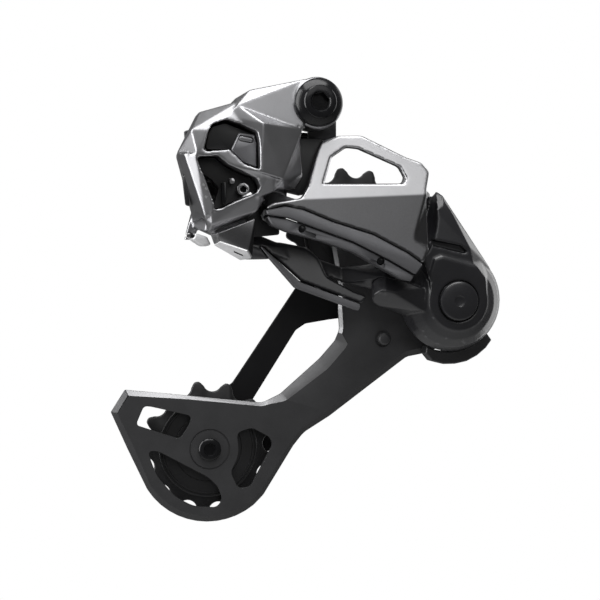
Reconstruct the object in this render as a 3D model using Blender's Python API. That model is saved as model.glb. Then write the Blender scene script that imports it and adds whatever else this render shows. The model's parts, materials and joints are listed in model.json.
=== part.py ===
"""Rear bicycle derailleur with an electric drive, as an assembly of separate pieces.

Run with:  blender --background --python part.py

The frame: +X points to the front of the bicycle, +Y points inboard (to the wheel), +Z up.
The origin lies on the hanger bolt's axis, on the plane where the derailleur meets the
bicycle's hanger. Sizes are in millimetres up to the point where a mesh is made.
"""

import math

import bmesh
import bpy
from mathutils import Matrix, Vector

MM = 0.001

# ---------------------------------------------------------------- driving sizes (mm)
FIT = 0.3                       # gap between two pieces that touch

# chain wheels
TOOTH_COUNT = 13
CHAIN_PITCH = 12.7
WHEEL_WIDTH = 2.4
TOOTH_HEIGHT = 4.4
SHIELD_RADIUS = 20.0
SHIELD_THICKNESS = 0.9
BEARING_RADIUS = 8.9
BEARING_WIDTH = 5.2
SLEEVE_RADIUS = 4.0
PULLEY_BOLT_RADIUS = 2.5
PULLEY_BOLT_HEAD_RADIUS = 4.5

# cage
CAGE_LENGTH = 114.0             # cage axle to tension wheel
CAGE_ANGLE = 211.5              # direction of the tension wheel from the cage axle, degrees
GUIDE_OFFSET = 46.7             # cage axle to guide wheel
GUIDE_ANGLE = 144.2
CAGE_OUTER_FACE = 6.0           # outboard face of the outer plate, along Y
OUTER_PLATE_THICKNESS = 2.2
INNER_PLATE_THICKNESS = 2.0
CAGE_INSIDE_WIDTH = 9.0         # room between the two plates
STOP_PIN_RADIUS = 2.3
STOP_PIN_OFFSET = (-25.7, -16.0)

# parallelogram
LINK_LENGTH = 56.0              # pin to pin along a link
LINK_SPACING = 20.0             # outer pin row to inner pin row
LINK_LAG = 7.0                  # the inner pins sit this far behind the outer ones
LINK_DROP = 8.6                 # fall of the links towards the front, degrees
LINK_FLARE = 6.0                # the links lean outboard by this at rest, degrees
SLANT = 40.0                    # lean of the four pins, degrees
OUTER_PIN_START = Vector((-16.0, -6.7, -38.5))
PIN_RADIUS = 2.0
LINK_STANDOFF = 7.8             # outer link's face, outboard of its front pin's middle
EYE_RADIUS = 5.2

# p-knuckle (the front, lower housing)
P_OFFSET = Vector((17.9, 0.0, -34.2))   # front outer pin to the cage axle
P_RIM_RADIUS = 12.4
P_BODY_RADIUS = 20.8
P_FRONT = -15.5
P_WIDEST = -4.5
P_BACK = 4.9
P_CAP_RADIUS = 8.0
P_AXLE_RADIUS = 5.0
P_SPRING_RADIUS = 8.2
SPRING_WIRE_RADIUS = 1.1
SPRING_TURNS = 3.5
SKIRT_DEPTH = 5.2               # how far the skirt stands out from the housing
SEAL_THICKNESS = 0.5

# b-knuckle (the rear, upper housing)
BOLT_SHANK_RADIUS = 5.0
BOLT_HEAD_RADIUS = 9.4
BOLT_FACE_RADIUS = 6.4
BOLT_TIP = 9.5                  # thread that goes into the hanger
SOCKET_RADIUS = 3.7
BOSS_RADIUS = 10.2
BOSS_FRONT = -16.8
STOP_PLATE_THICKNESS = 3.0
STOP_PLATE_RADIUS = 10.0
BUSH_WALL = 1.2
BACK_FACE = 5.0                 # flat back of the rear housing, along Y
BACK_COVER_THICKNESS = 2.0
BUTTON_TRAVEL = 0.8
ADJUST_SCREW_RADIUS = 1.5
DOOR_HINGE = Vector((-48.0, -3.0, -51.4))

# ---------------------------------------------------------------- derived places (mm)
WHEEL_PITCH_RADIUS = CHAIN_PITCH / (2 * math.sin(math.pi / TOOTH_COUNT))
ROOT_RADIUS = WHEEL_PITCH_RADIUS - 3.9
TIP_RADIUS = ROOT_RADIUS + TOOTH_HEIGHT
CAGE_OUTER_BACK = CAGE_OUTER_FACE + OUTER_PLATE_THICKNESS
CAGE_INNER_FACE = CAGE_OUTER_BACK + CAGE_INSIDE_WIDTH
CAGE_INNER_BACK = CAGE_INNER_FACE + INNER_PLATE_THICKNESS
WHEEL_PLANE = CAGE_OUTER_BACK + CAGE_INSIDE_WIDTH / 2


def _unit(degrees):
    """Unit vector (x, z) at an angle from +X towards +Z."""
    angle = math.radians(degrees)
    return Vector((math.cos(angle), math.sin(angle)))


LEVEL_WAY = Vector((math.cos(math.radians(LINK_DROP)), 0.0, -math.sin(math.radians(LINK_DROP))))
UPRIGHT = Vector((math.sin(math.radians(LINK_DROP)), 0.0, math.cos(math.radians(LINK_DROP))))
INBOARD = Vector((0.0, 1.0, 0.0))
PIN_AXIS = UPRIGHT * math.cos(math.radians(SLANT)) + INBOARD * math.sin(math.radians(SLANT))
SHIFT_WAY = INBOARD * math.cos(math.radians(SLANT)) - UPRIGHT * math.sin(math.radians(SLANT))
LINK_WAY = LEVEL_WAY * math.cos(math.radians(LINK_FLARE)) - SHIFT_WAY * math.sin(math.radians(LINK_FLARE))

OUTER_PIN_END = OUTER_PIN_START + LINK_WAY * LINK_LENGTH
INNER_PIN_START = OUTER_PIN_START + SHIFT_WAY * LINK_SPACING - LEVEL_WAY * LINK_LAG
INNER_PIN_END = INNER_PIN_START + LINK_WAY * LINK_LENGTH
P_AXIS = Vector((OUTER_PIN_END.x + P_OFFSET.x, 0.0, OUTER_PIN_END.z + P_OFFSET.z))
_tension = _unit(CAGE_ANGLE) * CAGE_LENGTH
_guide = _unit(GUIDE_ANGLE) * GUIDE_OFFSET
TENSION_AXIS = Vector((P_AXIS.x + _tension.x, 0.0, P_AXIS.z + _tension.y))
GUIDE_AXIS = Vector((P_AXIS.x + _guide.x, 0.0, P_AXIS.z + _guide.y))

# heights of the link eyes along the pin axis, measured from each pin row's own reference point
OUTER_EYE = (-7.0, 1.0)
INNER_REAR_EYE = (-10.0, -3.0)
INNER_FRONT_EYE = (-21.0, -13.0)
REAR_LUG_TOP = 12.0
FRONT_LUG_TOP = 15.0
LOBE_FOOT = -28.5


# ---------------------------------------------------------------- scene and helpers
def clear_scene():
    """Take every object out of the scene."""
    for item in list(bpy.data.objects):
        bpy.data.objects.remove(item, do_unlink=True)


def material(name, colour, roughness, metallic):
    """A Principled BSDF material."""
    made = bpy.data.materials.new(name)
    made.use_nodes = True
    shader = made.node_tree.nodes["Principled BSDF"]
    shader.inputs["Base Color"].default_value = (*colour, 1.0)
    shader.inputs["Roughness"].default_value = roughness
    shader.inputs["Metallic"].default_value = metallic
    return made


def pivot(name, place, parent=None):
    """An empty on a joint's axis, which carries the pieces that turn about it."""
    empty = bpy.data.objects.new(name, None)
    empty.empty_display_size = 0.01
    empty.matrix_world = Matrix.Translation(Vector(place) * MM)
    bpy.context.collection.objects.link(empty)
    if parent is not None:
        empty.parent = parent
        empty.matrix_parent_inverse = Matrix.Translation(-_world_place[parent.name])
    _world_place[name] = Vector(place) * MM
    return empty


_world_place = {}


def piece(name, shape, finish, body, smooth=False):
    """Turn a bmesh in millimetres into a named object that rides on a body's empty."""
    bmesh.ops.recalc_face_normals(shape, faces=shape.faces)
    bmesh.ops.scale(shape, vec=(MM, MM, MM), verts=shape.verts)
    mesh = bpy.data.meshes.new(name)
    shape.to_mesh(mesh)
    shape.free()
    if smooth:
        mesh.shade_smooth()
        mesh.set_sharp_from_angle(angle=math.radians(35))
    made = bpy.data.objects.new(name, mesh)
    bpy.context.collection.objects.link(made)
    if finish is not None:
        mesh.materials.append(finish)
    if body is not None:
        made.parent = body
        made.matrix_parent_inverse = Matrix.Translation(-_world_place[body.name])
    return made


def _tool(target, shape, operation, solver):
    """Apply a helper shape to a piece with a Boolean, and hide the helper."""
    helper = piece(target.name + "_" + operation.lower(), shape, None, None)
    helper.hide_render = True
    helper.display_type = "WIRE"
    change = target.modifiers.new(operation.title(), "BOOLEAN")
    change.operation = operation
    change.solver = solver
    change.object = helper


def cut(target, *shapes, solver="EXACT"):
    """Cut shapes out of a piece."""
    for shape in shapes:
        _tool(target, shape, "DIFFERENCE", solver)


def join(target, *shapes, solver="EXACT"):
    """Grow a piece by shapes that overlap it."""
    for shape in shapes:
        _tool(target, shape, "UNION", solver)


def rounded(corners, steps=3):
    """An outline from (x, z, radius) corners, each rounded by an arc of its radius."""
    outline = []
    count = len(corners)
    for index, (x, z, radius) in enumerate(corners):
        here = Vector((x, z))
        if radius <= 0:
            outline.append((x, z))
            continue
        back = Vector(corners[index - 1][:2]) - here
        ahead = Vector(corners[(index + 1) % count][:2]) - here
        half = back.angle(ahead) / 2
        reach = min(radius / math.tan(half), back.length * 0.49, ahead.length * 0.49)
        radius = reach * math.tan(half)
        centre = here + (back.normalized() + ahead.normalized()).normalized() * (radius / math.sin(half))
        first = here + back.normalized() * reach - centre
        last = here + ahead.normalized() * reach - centre
        sweep = math.atan2(first.x * last.y - first.y * last.x, first.dot(last))
        for step in range(steps + 1):
            turn = Matrix.Rotation(sweep * step / steps, 2)
            point = centre + turn @ first
            outline.append((point.x, point.y))
    return outline


def widened(outline, gap):
    """An outline moved outwards by a gap all round."""
    turn = sum(a[0] * b[1] - b[0] * a[1] for a, b in zip(outline, outline[1:] + outline[:1]))
    side = 1.0 if turn > 0 else -1.0
    moved = []
    for index, (x, z) in enumerate(outline):
        before = Vector((x, z)) - Vector(outline[index - 1])
        after = Vector(outline[(index + 1) % len(outline)]) - Vector((x, z))
        out = Vector((before.y, -before.x)).normalized() + Vector((after.y, -after.x)).normalized()
        out = out.normalized() * side
        reach = gap / max(0.5, abs(out.dot(Vector((before.y, -before.x)).normalized())))
        moved.append((x + out.x * reach, z + out.y * reach))
    return moved


def prism(outline, front, back, lean=0.0, sweep=0.0, at=(0.0, 0.0), edge=0.0):
    """An (x, z) outline made solid along Y, from front to back.

    lean and sweep tilt it: each adds that much Y per millimetre of height and of length, counted
    from the point at. edge is a bevel along the outline on the front.
    """
    shape = bmesh.new()
    ring = [shape.verts.new((x, front, z)) for x, z in outline]
    face = shape.faces.new(ring)
    grown = bmesh.ops.extrude_face_region(shape, geom=[face])
    moved = [item for item in grown["geom"] if isinstance(item, bmesh.types.BMVert)]
    bmesh.ops.translate(shape, vec=(0.0, back - front, 0.0), verts=moved)
    if edge > 0:
        rim = [item for item in shape.edges if all(abs(v.co.y - front) < 1e-6 for v in item.verts)]
        bmesh.ops.bevel(shape, geom=rim, offset=edge, segments=1, profile=0.5, affect="EDGES",
                        material=-1, clamp_overlap=True)
    for vert in shape.verts:
        vert.co.y += lean * (vert.co.z - at[1]) + sweep * (vert.co.x - at[0])
    return shape


def hull(points, grow=0.0):
    """The convex solid around points, grown from its middle by a gap on every side."""
    shape = bmesh.new()
    spots = [Vector(point) for point in points]
    low = Vector([min(spot[k] for spot in spots) for k in range(3)])
    high = Vector([max(spot[k] for spot in spots) for k in range(3)])
    for spot in spots:
        shape.verts.new([spot[k] + grow * (2 * spot[k] - low[k] - high[k]) / (high[k] - low[k])
                         for k in range(3)])
    made = bmesh.ops.convex_hull(shape, input=shape.verts)
    spare = [item for item in made["geom_interior"] if isinstance(item, bmesh.types.BMVert)]
    bmesh.ops.delete(shape, geom=spare, context="VERTS")
    bmesh.ops.dissolve_limit(shape, angle_limit=0.01, verts=shape.verts, edges=shape.edges)
    return shape


def turned(profile, centre, axis=(0.0, 1.0, 0.0), steps=24):
    """A closed (along, radius) profile turned about an axis through a centre."""
    shape = bmesh.new()
    along = Vector(axis).normalized()
    across = along.orthogonal().normalized()
    path = [shape.verts.new(Vector(centre) + along * step + across * radius) for step, radius in profile]
    edges = [shape.edges.new((path[i], path[i + 1])) for i in range(len(path) - 1)]
    if profile[0][1] > 0:
        edges.append(shape.edges.new((path[-1], path[0])))
    bmesh.ops.spin(shape, geom=path + edges, cent=centre, axis=along, angle=math.tau, steps=steps,
                   use_merge=True)
    bmesh.ops.remove_doubles(shape, verts=shape.verts, dist=1e-4)
    return shape


def rod(centre, start, end, radius, axis=(0.0, 1.0, 0.0), steps=24):
    """A plain cylinder along an axis, between two distances from its centre."""
    return turned([(start, 0.0), (start, radius), (end, radius), (end, 0.0)], centre, axis, steps)


def ring(centre, start, end, inner, outer, axis=(0.0, 1.0, 0.0), steps=24):
    """A cylinder with a bore."""
    return turned([(start, inner), (start, outer), (end, outer), (end, inner)], centre, axis, steps)


def coil(centre, span, radius, wire, turns, steps=14, sides=6):
    """A round wire wound about the Y axis, with flat ends."""
    shape = bmesh.new()
    loops = []
    count = int(turns * steps)
    for index in range(count + 1):
        share = index / count
        turn = math.tau * turns * share
        out = Vector((math.cos(turn), 0.0, math.sin(turn)))
        middle = Vector(centre) + out * radius + INBOARD * (span[0] + (span[1] - span[0]) * share)
        loop = []
        for side in range(sides):
            angle = math.tau * side / sides
            loop.append(shape.verts.new(middle + out * (wire * math.cos(angle))
                                        + INBOARD * (wire * math.sin(angle))))
        loops.append(loop)
    for here, ahead in zip(loops, loops[1:]):
        for side in range(sides):
            following = (side + 1) % sides
            shape.faces.new((here[side], here[following], ahead[following], ahead[side]))
    shape.faces.new(loops[0])
    shape.faces.new(loops[-1])
    return shape


def along_pin(reference, distance):
    """A point at a distance along the pin axis from a pin row's reference point."""
    return reference + PIN_AXIS * distance


def disc_points(centre, radius, axis, count=12):
    """Points on a circle about an axis, for a hull."""
    along = Vector(axis).normalized()
    across = along.orthogonal().normalized()
    return [Vector(centre) + Matrix.Rotation(math.tau * k / count, 3, along) @ across * radius
            for k in range(count)]


def outboard_relief(reference, span, radius):
    """Half a round on the outboard side of a pin, where the end of a link swings."""
    across = PIN_AXIS.cross(LINK_WAY)
    points = []
    for distance in span:
        for step in range(9):
            angle = math.radians(-170.0 + 20.0 * step)
            out = LINK_WAY * math.cos(angle) + across * math.sin(angle)
            points.append(along_pin(reference, distance) + out * radius)
    return hull(points)


def from_axis(axis_point, offsets):
    """Outline corners given as offsets from an axis, with their radii."""
    return [(axis_point.x + x, axis_point.z + z, r) for x, z, r in offsets]


# ---------------------------------------------------------------- finishes
def finishes():
    """Every finish, by its name."""
    return {
        "casing": material("satin_grey_casing", (0.21, 0.21, 0.22), 0.34, 0.9),
        "link": material("bright_link", (0.30, 0.30, 0.31), 0.30, 0.9),
        "guard": material("link_guard_grey", (0.13, 0.13, 0.14), 0.45, 0.4),
        "dark": material("dark_satin_knuckle", (0.015, 0.015, 0.017), 0.38, 0.7),
        "plate": material("cage_plate_grey", (0.045, 0.045, 0.047), 0.48, 0.6),
        "inner_plate": material("cage_inner_black", (0.011, 0.011, 0.012), 0.5, 0.5),
        "steel": material("pin_steel", (0.45, 0.45, 0.46), 0.3, 1.0),
        "bolt": material("black_bolt", (0.01, 0.01, 0.011), 0.22, 0.8),
        "wheel": material("wheel_resin", (0.014, 0.014, 0.015), 0.45, 0.0),
        "panel": material("panel_grey", (0.19, 0.19, 0.20), 0.5, 0.2),
        "resin": material("black_resin", (0.012, 0.012, 0.012), 0.5, 0.0),
        "seal": material("seal_rubber", (0.01, 0.01, 0.01), 0.8, 0.0),
    }


# ---------------------------------------------------------------- hanger side
def hanger_side(finish, body):
    """The bolt, bush, seal and stop plate that stay with the bicycle."""
    centre = (0.0, 0.0, 0.0)
    head_back = BOSS_FRONT - FIT
    bolt = piece("hanger_bolt", turned([
        (-22.0, 0.0), (-22.0, BOLT_FACE_RADIUS - 0.5), (-21.5, BOLT_FACE_RADIUS),
        (-19.4, BOLT_HEAD_RADIUS - 0.6), (-18.6, BOLT_HEAD_RADIUS), (head_back, BOLT_HEAD_RADIUS),
        (head_back, BOLT_SHANK_RADIUS), (BOLT_TIP - 1.0, BOLT_SHANK_RADIUS),
        (BOLT_TIP, BOLT_SHANK_RADIUS - 1.0), (BOLT_TIP, 0.0)], centre, steps=32),
        finish["bolt"], body, smooth=True)
    cut(bolt, rod(centre, -23.0, -17.5, SOCKET_RADIUS, steps=6))

    bush_bore = BOLT_SHANK_RADIUS + FIT
    bush_outer = bush_bore + BUSH_WALL
    piece("hanger_bush", ring(centre, BOSS_FRONT + 1.0, -STOP_PLATE_THICKNESS - FIT, bush_bore,
                              bush_outer), finish["steel"], body, smooth=True)

    tab = rounded([(-1.0, -6.0, 0), (10.2, -4.0, 0), (10.2, -13.4, 1.2), (-1.0, -13.4, 1.2)])
    plate = piece("stop_plate", ring(centre, -STOP_PLATE_THICKNESS, 0.0, bush_bore,
                                     STOP_PLATE_RADIUS, steps=32), finish["dark"], body)
    join(plate, prism(tab, -STOP_PLATE_THICKNESS, -0.2))


# ---------------------------------------------------------------- b-knuckle
ADJUST_SCREW = Vector((-14.0, -1.5, -11.85))
DRIVE_POCKET = [(-47.4, -21.6, 0.8), (-39.6, -21.0, 1), (-35.6, -24.4, 1), (-24.6, -29.6, 0.8),
                (-22.9, -33.4, 0.8), (-31.5, -38.0, 1), (-37.7, -41.1, 1), (-41.2, -41.6, 0.5),
                (-40.2, -39.3, 0.5), (-38.4, -33.0, 1), (-41.5, -29.6, 1), (-45.3, -27.4, 1)]
LATCH = [(-52.0, -7.5, -28.5), (-50.0, -8.0, -27.5), (-49.0, -8.0, -40.0), (-50.6, -7.5, -39.5),
         (-51.4, -3.0, -28.5), (-49.6, -3.0, -27.5), (-48.6, -3.0, -40.0), (-50.2, -3.0, -39.5)]
BACK_POCKET = [(-48.0, -11.5), (-35.0, -6.5), (-25.5, -13.5), (-26.5, -25.0), (-46.5, -25.5)]


def rear_knuckle(finish, body):
    """The grey faceted housing that holds the battery, the drive and the rear link pins."""
    start = OUTER_PIN_START
    foot = INNER_PIN_START
    boss_back = -STOP_PLATE_THICKNESS - FIT
    casing = piece("rear_knuckle_casing", turned([
        (BOSS_FRONT, 0.0), (BOSS_FRONT, BOSS_RADIUS - 1.5), (BOSS_FRONT + 1.5, BOSS_RADIUS),
        (0.5, BOSS_RADIUS), (0.5, 0.0)], (0.0, 0.0, 0.0), steps=32),
        finish["casing"], body)
    neck = hull([(-6.0, -16.0, 8.6), (-4.5, -16.0, -10.0), (-6.0, -4.0, 8.4), (-4.5, -4.0, -10.0),
                 (-26.3, -18.0, 4.7), (-32.0, -17.0, 1.2), (-26.3, -3.0, 4.2), (-32.0, -1.0, 0.6),
                 (-31.7, -19.5, -3.5), (-31.0, 2.0, -8.0), (-20.0, -20.0, -9.6), (-19.0, 3.0, -14.0)])
    chest = hull([(-26.3, -17.0, 3.6), (-38.5, -13.0, -2.5), (-45.4, -10.0, -3.7), (-46.8, -8.0, -5.3),
                  (-53.8, -8.0, -19.1), (-53.5, -8.0, -22.0), (-49.3, -17.0, -11.2),
                  (-24.4, -22.5, -8.5), (-19.0, -22.5, -9.0), (-43.4, -20.0, -12.3),
                  (-24.5, -22.5, -27.7), (-19.1, -22.5, -27.8), (-45.4, -20.0, -20.0),
                  (-53.0, 5.0, -20.0), (-45.4, 6.0, -5.5), (-30.0, 6.0, -2.0), (-19.0, 5.0, -13.0),
                  (-24.0, 8.0, -30.0), (-49.0, 7.0, -30.0), (-40.0, -19.0, -31.0)])
    shoulder = hull([(-19.7, -20.5, -9.6), (-7.0, -17.0, -13.8), (-5.8, -13.5, -26.5),
                     (-5.0, -11.5, -28.4), (-8.3, -9.5, -33.8), (-18.7, -21.0, -27.7),
                     (-14.0, -16.0, -32.0), (-20.0, -2.0, -12.0), (-8.0, -2.0, -14.5),
                     (-8.0, 2.0, -26.0), (-22.0, 6.0, -28.0)])
    join(casing, neck, chest, shoulder, solver="MANIFOLD")
    rear_lug = hull(disc_points(along_pin(start, OUTER_EYE[1] - 1.0), EYE_RADIUS, PIN_AXIS)
                    + disc_points(along_pin(start, REAR_LUG_TOP), EYE_RADIUS + 0.8, PIN_AXIS)
                    + [(-26.0, -4.0, -27.0), (-26.0, 5.0, -30.0)])
    join(casing, rear_lug, solver="MANIFOLD")
    # the lower body, which holds the inner pin between an upper and a lower ear
    upper_ear = hull(disc_points(along_pin(foot, INNER_REAR_EYE[1] - 1.0), EYE_RADIUS + 0.3, PIN_AXIS)
                     + disc_points(along_pin(foot, 6.0), EYE_RADIUS + 0.8, PIN_AXIS)
                     + [(-44.0, 6.0, -26.0), (-28.0, 7.5, -28.0), (-46.0, 0.0, -30.0),
                        (-47.0, 2.0, -48.0), (-41.0, -1.0, -50.0)])
    join(casing, upper_ear, solver="MANIFOLD")
    lower_bar = hull([(-42.5, -16.0, -41.0), (-44.5, -12.0, -45.0), (-42.6, -12.0, -50.3),
                      (-24.0, -18.5, -35.5), (-20.5, -16.0, -38.0), (-23.8, -16.5, -42.0),
                      (-40.0, 1.0, -40.5), (-41.0, 1.0, -50.0), (-26.5, -13.0, -44.5),
                      (-32.0, 1.0, -45.0), (-29.0, -12.0, -36.5)])
    rear_bar = hull([(-53.6, -8.0, -19.4), (-48.5, -15.0, -20.6), (-46.0, -16.0, -27.5),
                     (-41.0, -16.0, -40.5), (-44.1, -15.0, -45.0), (-47.0, -9.0, -42.0),
                     (-53.4, 1.0, -20.5), (-46.0, 1.0, -22.0), (-40.5, 1.0, -40.5), (-46.5, 2.0, -46.0)])
    cheek = hull([(-24.4, -21.5, -27.0), (-19.1, -21.5, -27.0), (-14.1, -15.5, -32.0),
                  (-17.8, -16.2, -34.5), (-24.0, -18.0, -37.0), (-24.5, -12.0, -30.0),
                  (-19.0, -12.6, -31.0), (-22.5, -12.8, -37.0)])
    hinge_ear = hull([(-49.8, 3.4, -53.0), (-46.2, 3.4, -53.0), (-49.8, 5.8, -53.0), (-46.2, 5.8, -53.0),
                      (-46.5, 3.4, -42.0), (-42.5, 3.4, -44.0), (-43.0, 7.0, -36.0), (-46.5, 5.8, -40.0)])
    join(casing, lower_bar, rear_bar, cheek, hinge_ear, solver="MANIFOLD")
    # room for the stop plate, the battery panel, the drive unit, the link and its eyes
    swing = EYE_RADIUS + 2.3
    cut(casing,
        rod((0.0, 0.0, 0.0), BOSS_FRONT - 1.0, 1.0, BOLT_SHANK_RADIUS + BUSH_WALL + 2 * FIT, steps=24),
        rod((0.0, 0.0, 0.0), boss_back, 12.0, STOP_PLATE_RADIUS + 4.6, steps=32),
        prism([(-60.0, 10.0), (-10.0, 10.0), (-10.0, -27.5), (-60.0, -27.5)], BACK_FACE, 30.0),
        prism(BACK_POCKET, BACK_FACE - 8.5, 30.0),
        rod(ADJUST_SCREW, -12.0, 12.0, ADJUST_SCREW_RADIUS + FIT, (1.0, 0.0, 0.0), 12),
        rod(ADJUST_SCREW, -12.0, -5.0, 2.6 + FIT, (1.0, 0.0, 0.0), 12),
        prism(rounded([(-44.9, -19.6, 1), (-43.0, -11.9, 1), (-41.3, -8.9, 2), (-36.2, -7.4, 1),
                       (-30.6, -9.2, 1), (-24.8, -12.0, 1), (-23.9, -15.9, 1), (-23.6, -26.4, 0.5),
                       (-29.4, -24.4, 1), (-35.2, -18.8, 1)]), -24.0, -7.0),
        prism(rounded(DRIVE_POCKET), -24.0, -4.0),
        hull(LATCH, FIT), rod(DOOR_HINGE, 5.0, 11.0, 0.8 + FIT, steps=12),
        rod(along_pin(start, OUTER_EYE[1] + FIT), -30.0, 0.0, swing, PIN_AXIS),
        rod(along_pin(foot, INNER_REAR_EYE[1]), INNER_REAR_EYE[0] - INNER_REAR_EYE[1] - 9.0, FIT,
            EYE_RADIUS + 1.4, PIN_AXIS),
        rod(start, -10.0, 9.0, PIN_RADIUS + FIT, PIN_AXIS, steps=16),
        rod(foot, -10.0, 4.5, PIN_RADIUS + FIT, PIN_AXIS, steps=16),
        solver="MANIFOLD")
    return casing


def rear_knuckle_fittings(finish, body):
    """What the rear housing holds: battery, panel, button, drive, pins and screws."""
    start = OUTER_PIN_START
    foot = INNER_PIN_START
    panel = piece("battery_panel", prism(rounded([
        (-31.0, -12.1, 1), (-34.2, -18.8, 1), (-29.8, -23.1, 1), (-24.3, -25.4, 0.5),
        (-24.4, -16.0, 1), (-25.2, -12.8, 1)]), -18.0, -15.5, edge=0.4), finish["panel"], body)
    cut(panel, prism(rounded([(-31.4, -12.9, 1.2), (-25.6, -13.9, 1.2), (-25.6, -16.3, 1.2),
                              (-31.4, -15.3, 1.2)]), -19.0, -16.2))
    piece("battery", prism(rounded([(-42.6, -12.4, 1), (-41.0, -9.8, 1.5), (-36.0, -8.4, 1),
                                    (-25.4, -12.4, 1), (-25.0, -24.6, 1), (-34.6, -18.4, 1),
                                    (-43.6, -18.4, 1)]), -15.2, -7.5), finish["resin"], body)
    button = pivot("function_button_pivot", (-28.5, -18.4, -14.6), body)
    piece("function_button", prism(rounded([(-31.1, -13.3, 0.9), (-25.9, -14.2, 0.9),
                                            (-25.9, -15.9, 0.9), (-31.1, -15.0, 0.9)]),
                                   -18.4, -16.2 - FIT - BUTTON_TRAVEL, edge=0.25),
          finish["panel"], button)

    cover = [(x + (1.6 if x > -36 else -1.6), z + (1.6 if z > -20 else -1.6)) for x, z in BACK_POCKET]
    piece("rear_back_cover", prism(cover, BACK_FACE + FIT, BACK_FACE + FIT + BACK_COVER_THICKNESS),
          finish["resin"], body)
    piece("drive_motor", rod((-36.5, 0.9, -17.5), -8.5, 4.0, 3.9, (1.0, 0.0, 0.0), 20),
          finish["steel"], body, smooth=True)
    piece("drive_gearbox", prism(rounded([(-31.8, -12.0, 1.5), (-27.2, -14.6, 1.5), (-27.6, -23.8, 1.5),
                                          (-31.8, -23.8, 1.5)]), -3.2, 4.6), finish["resin"], body)
    drive = widened(rounded(DRIVE_POCKET), -FIT)
    piece("drive_unit", prism(drive, -11.0, -4.0 - FIT, edge=1.2), finish["resin"], body)
    piece("drive_lever", prism(rounded([(-37.4, -30.8, 0.6), (-35.6, -30.8, 0.6), (-35.8, -39.6, 0.6),
                                        (-37.4, -39.6, 0.6)]), -14.8, -11.3), finish["bolt"], body)
    piece("lever_pin", rod((-33.4, 0.0, -30.4), -15.4, -11.3, 1.1, steps=12), finish["steel"], body,
          smooth=True)
    piece("lever_spring", ring((-29.1, 0.0, -33.6), -15.6, -11.3, 1.3, 2.4, steps=20),
          finish["steel"], body, smooth=True)
    piece("adjust_screw", turned([
        (-9.5, 0.0), (-9.5, 2.6), (-5.0 - FIT, 2.6), (-5.0 - FIT, ADJUST_SCREW_RADIUS),
        (-1.0 - FIT - ADJUST_SCREW.x, ADJUST_SCREW_RADIUS), (-1.0 - FIT - ADJUST_SCREW.x, 0.0)],
        ADJUST_SCREW, (1.0, 0.0, 0.0), 12), finish["bolt"], body, smooth=True)
    piece("rear_lower_cover", hull([
        (-41.5, -11.5, -50.9), (-39.0, -14.5, -50.7), (-24.6, -16.5, -45.0), (-27.3, -16.0, -57.0),
        (-38.3, -14.0, -53.3), (-25.2, -13.0, -60.0), (-29.4, -11.5, -60.7), (-36.3, -10.0, -56.6),
        (-39.8, -9.0, -54.6), (-27.0, -5.0, -46.5), (-27.5, -4.0, -54.0), (-38.5, -4.0, -52.0)]),
        finish["casing"], body)
    piece("battery_latch", hull(LATCH), finish["resin"], body)
    door = pivot("battery_door_pivot", DOOR_HINGE, body)
    flap = piece("battery_door", prism(rounded([
        (-49.2, -50.6, 1.0), (-46.2, -50.6, 1.0), (-42.2, -51.9, 1), (-40.6, -55.0, 0.6),
        (-43.7, -55.9, 3), (-47.6, -53.3, 1.5)]), -8.5, 3.0, edge=0.6), finish["casing"], door)
    cut(flap, rod(DOOR_HINGE, -8.0, 8.0, 0.8 + FIT, steps=12))
    piece("door_hinge_pin", rod(DOOR_HINGE, -4.8, 8.6, 0.8, steps=12), finish["steel"], body,
          smooth=True)

    piece("rear_outer_pin", rod(start, OUTER_EYE[0] + 1.5, REAR_LUG_TOP - 3.3, PIN_RADIUS, PIN_AXIS, 16),
          finish["steel"], body, smooth=True)
    piece("rear_inner_pin", rod(foot, INNER_REAR_EYE[0] - 1.0, 4.2, PIN_RADIUS, PIN_AXIS, 16),
          finish["steel"], body, smooth=True)


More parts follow.
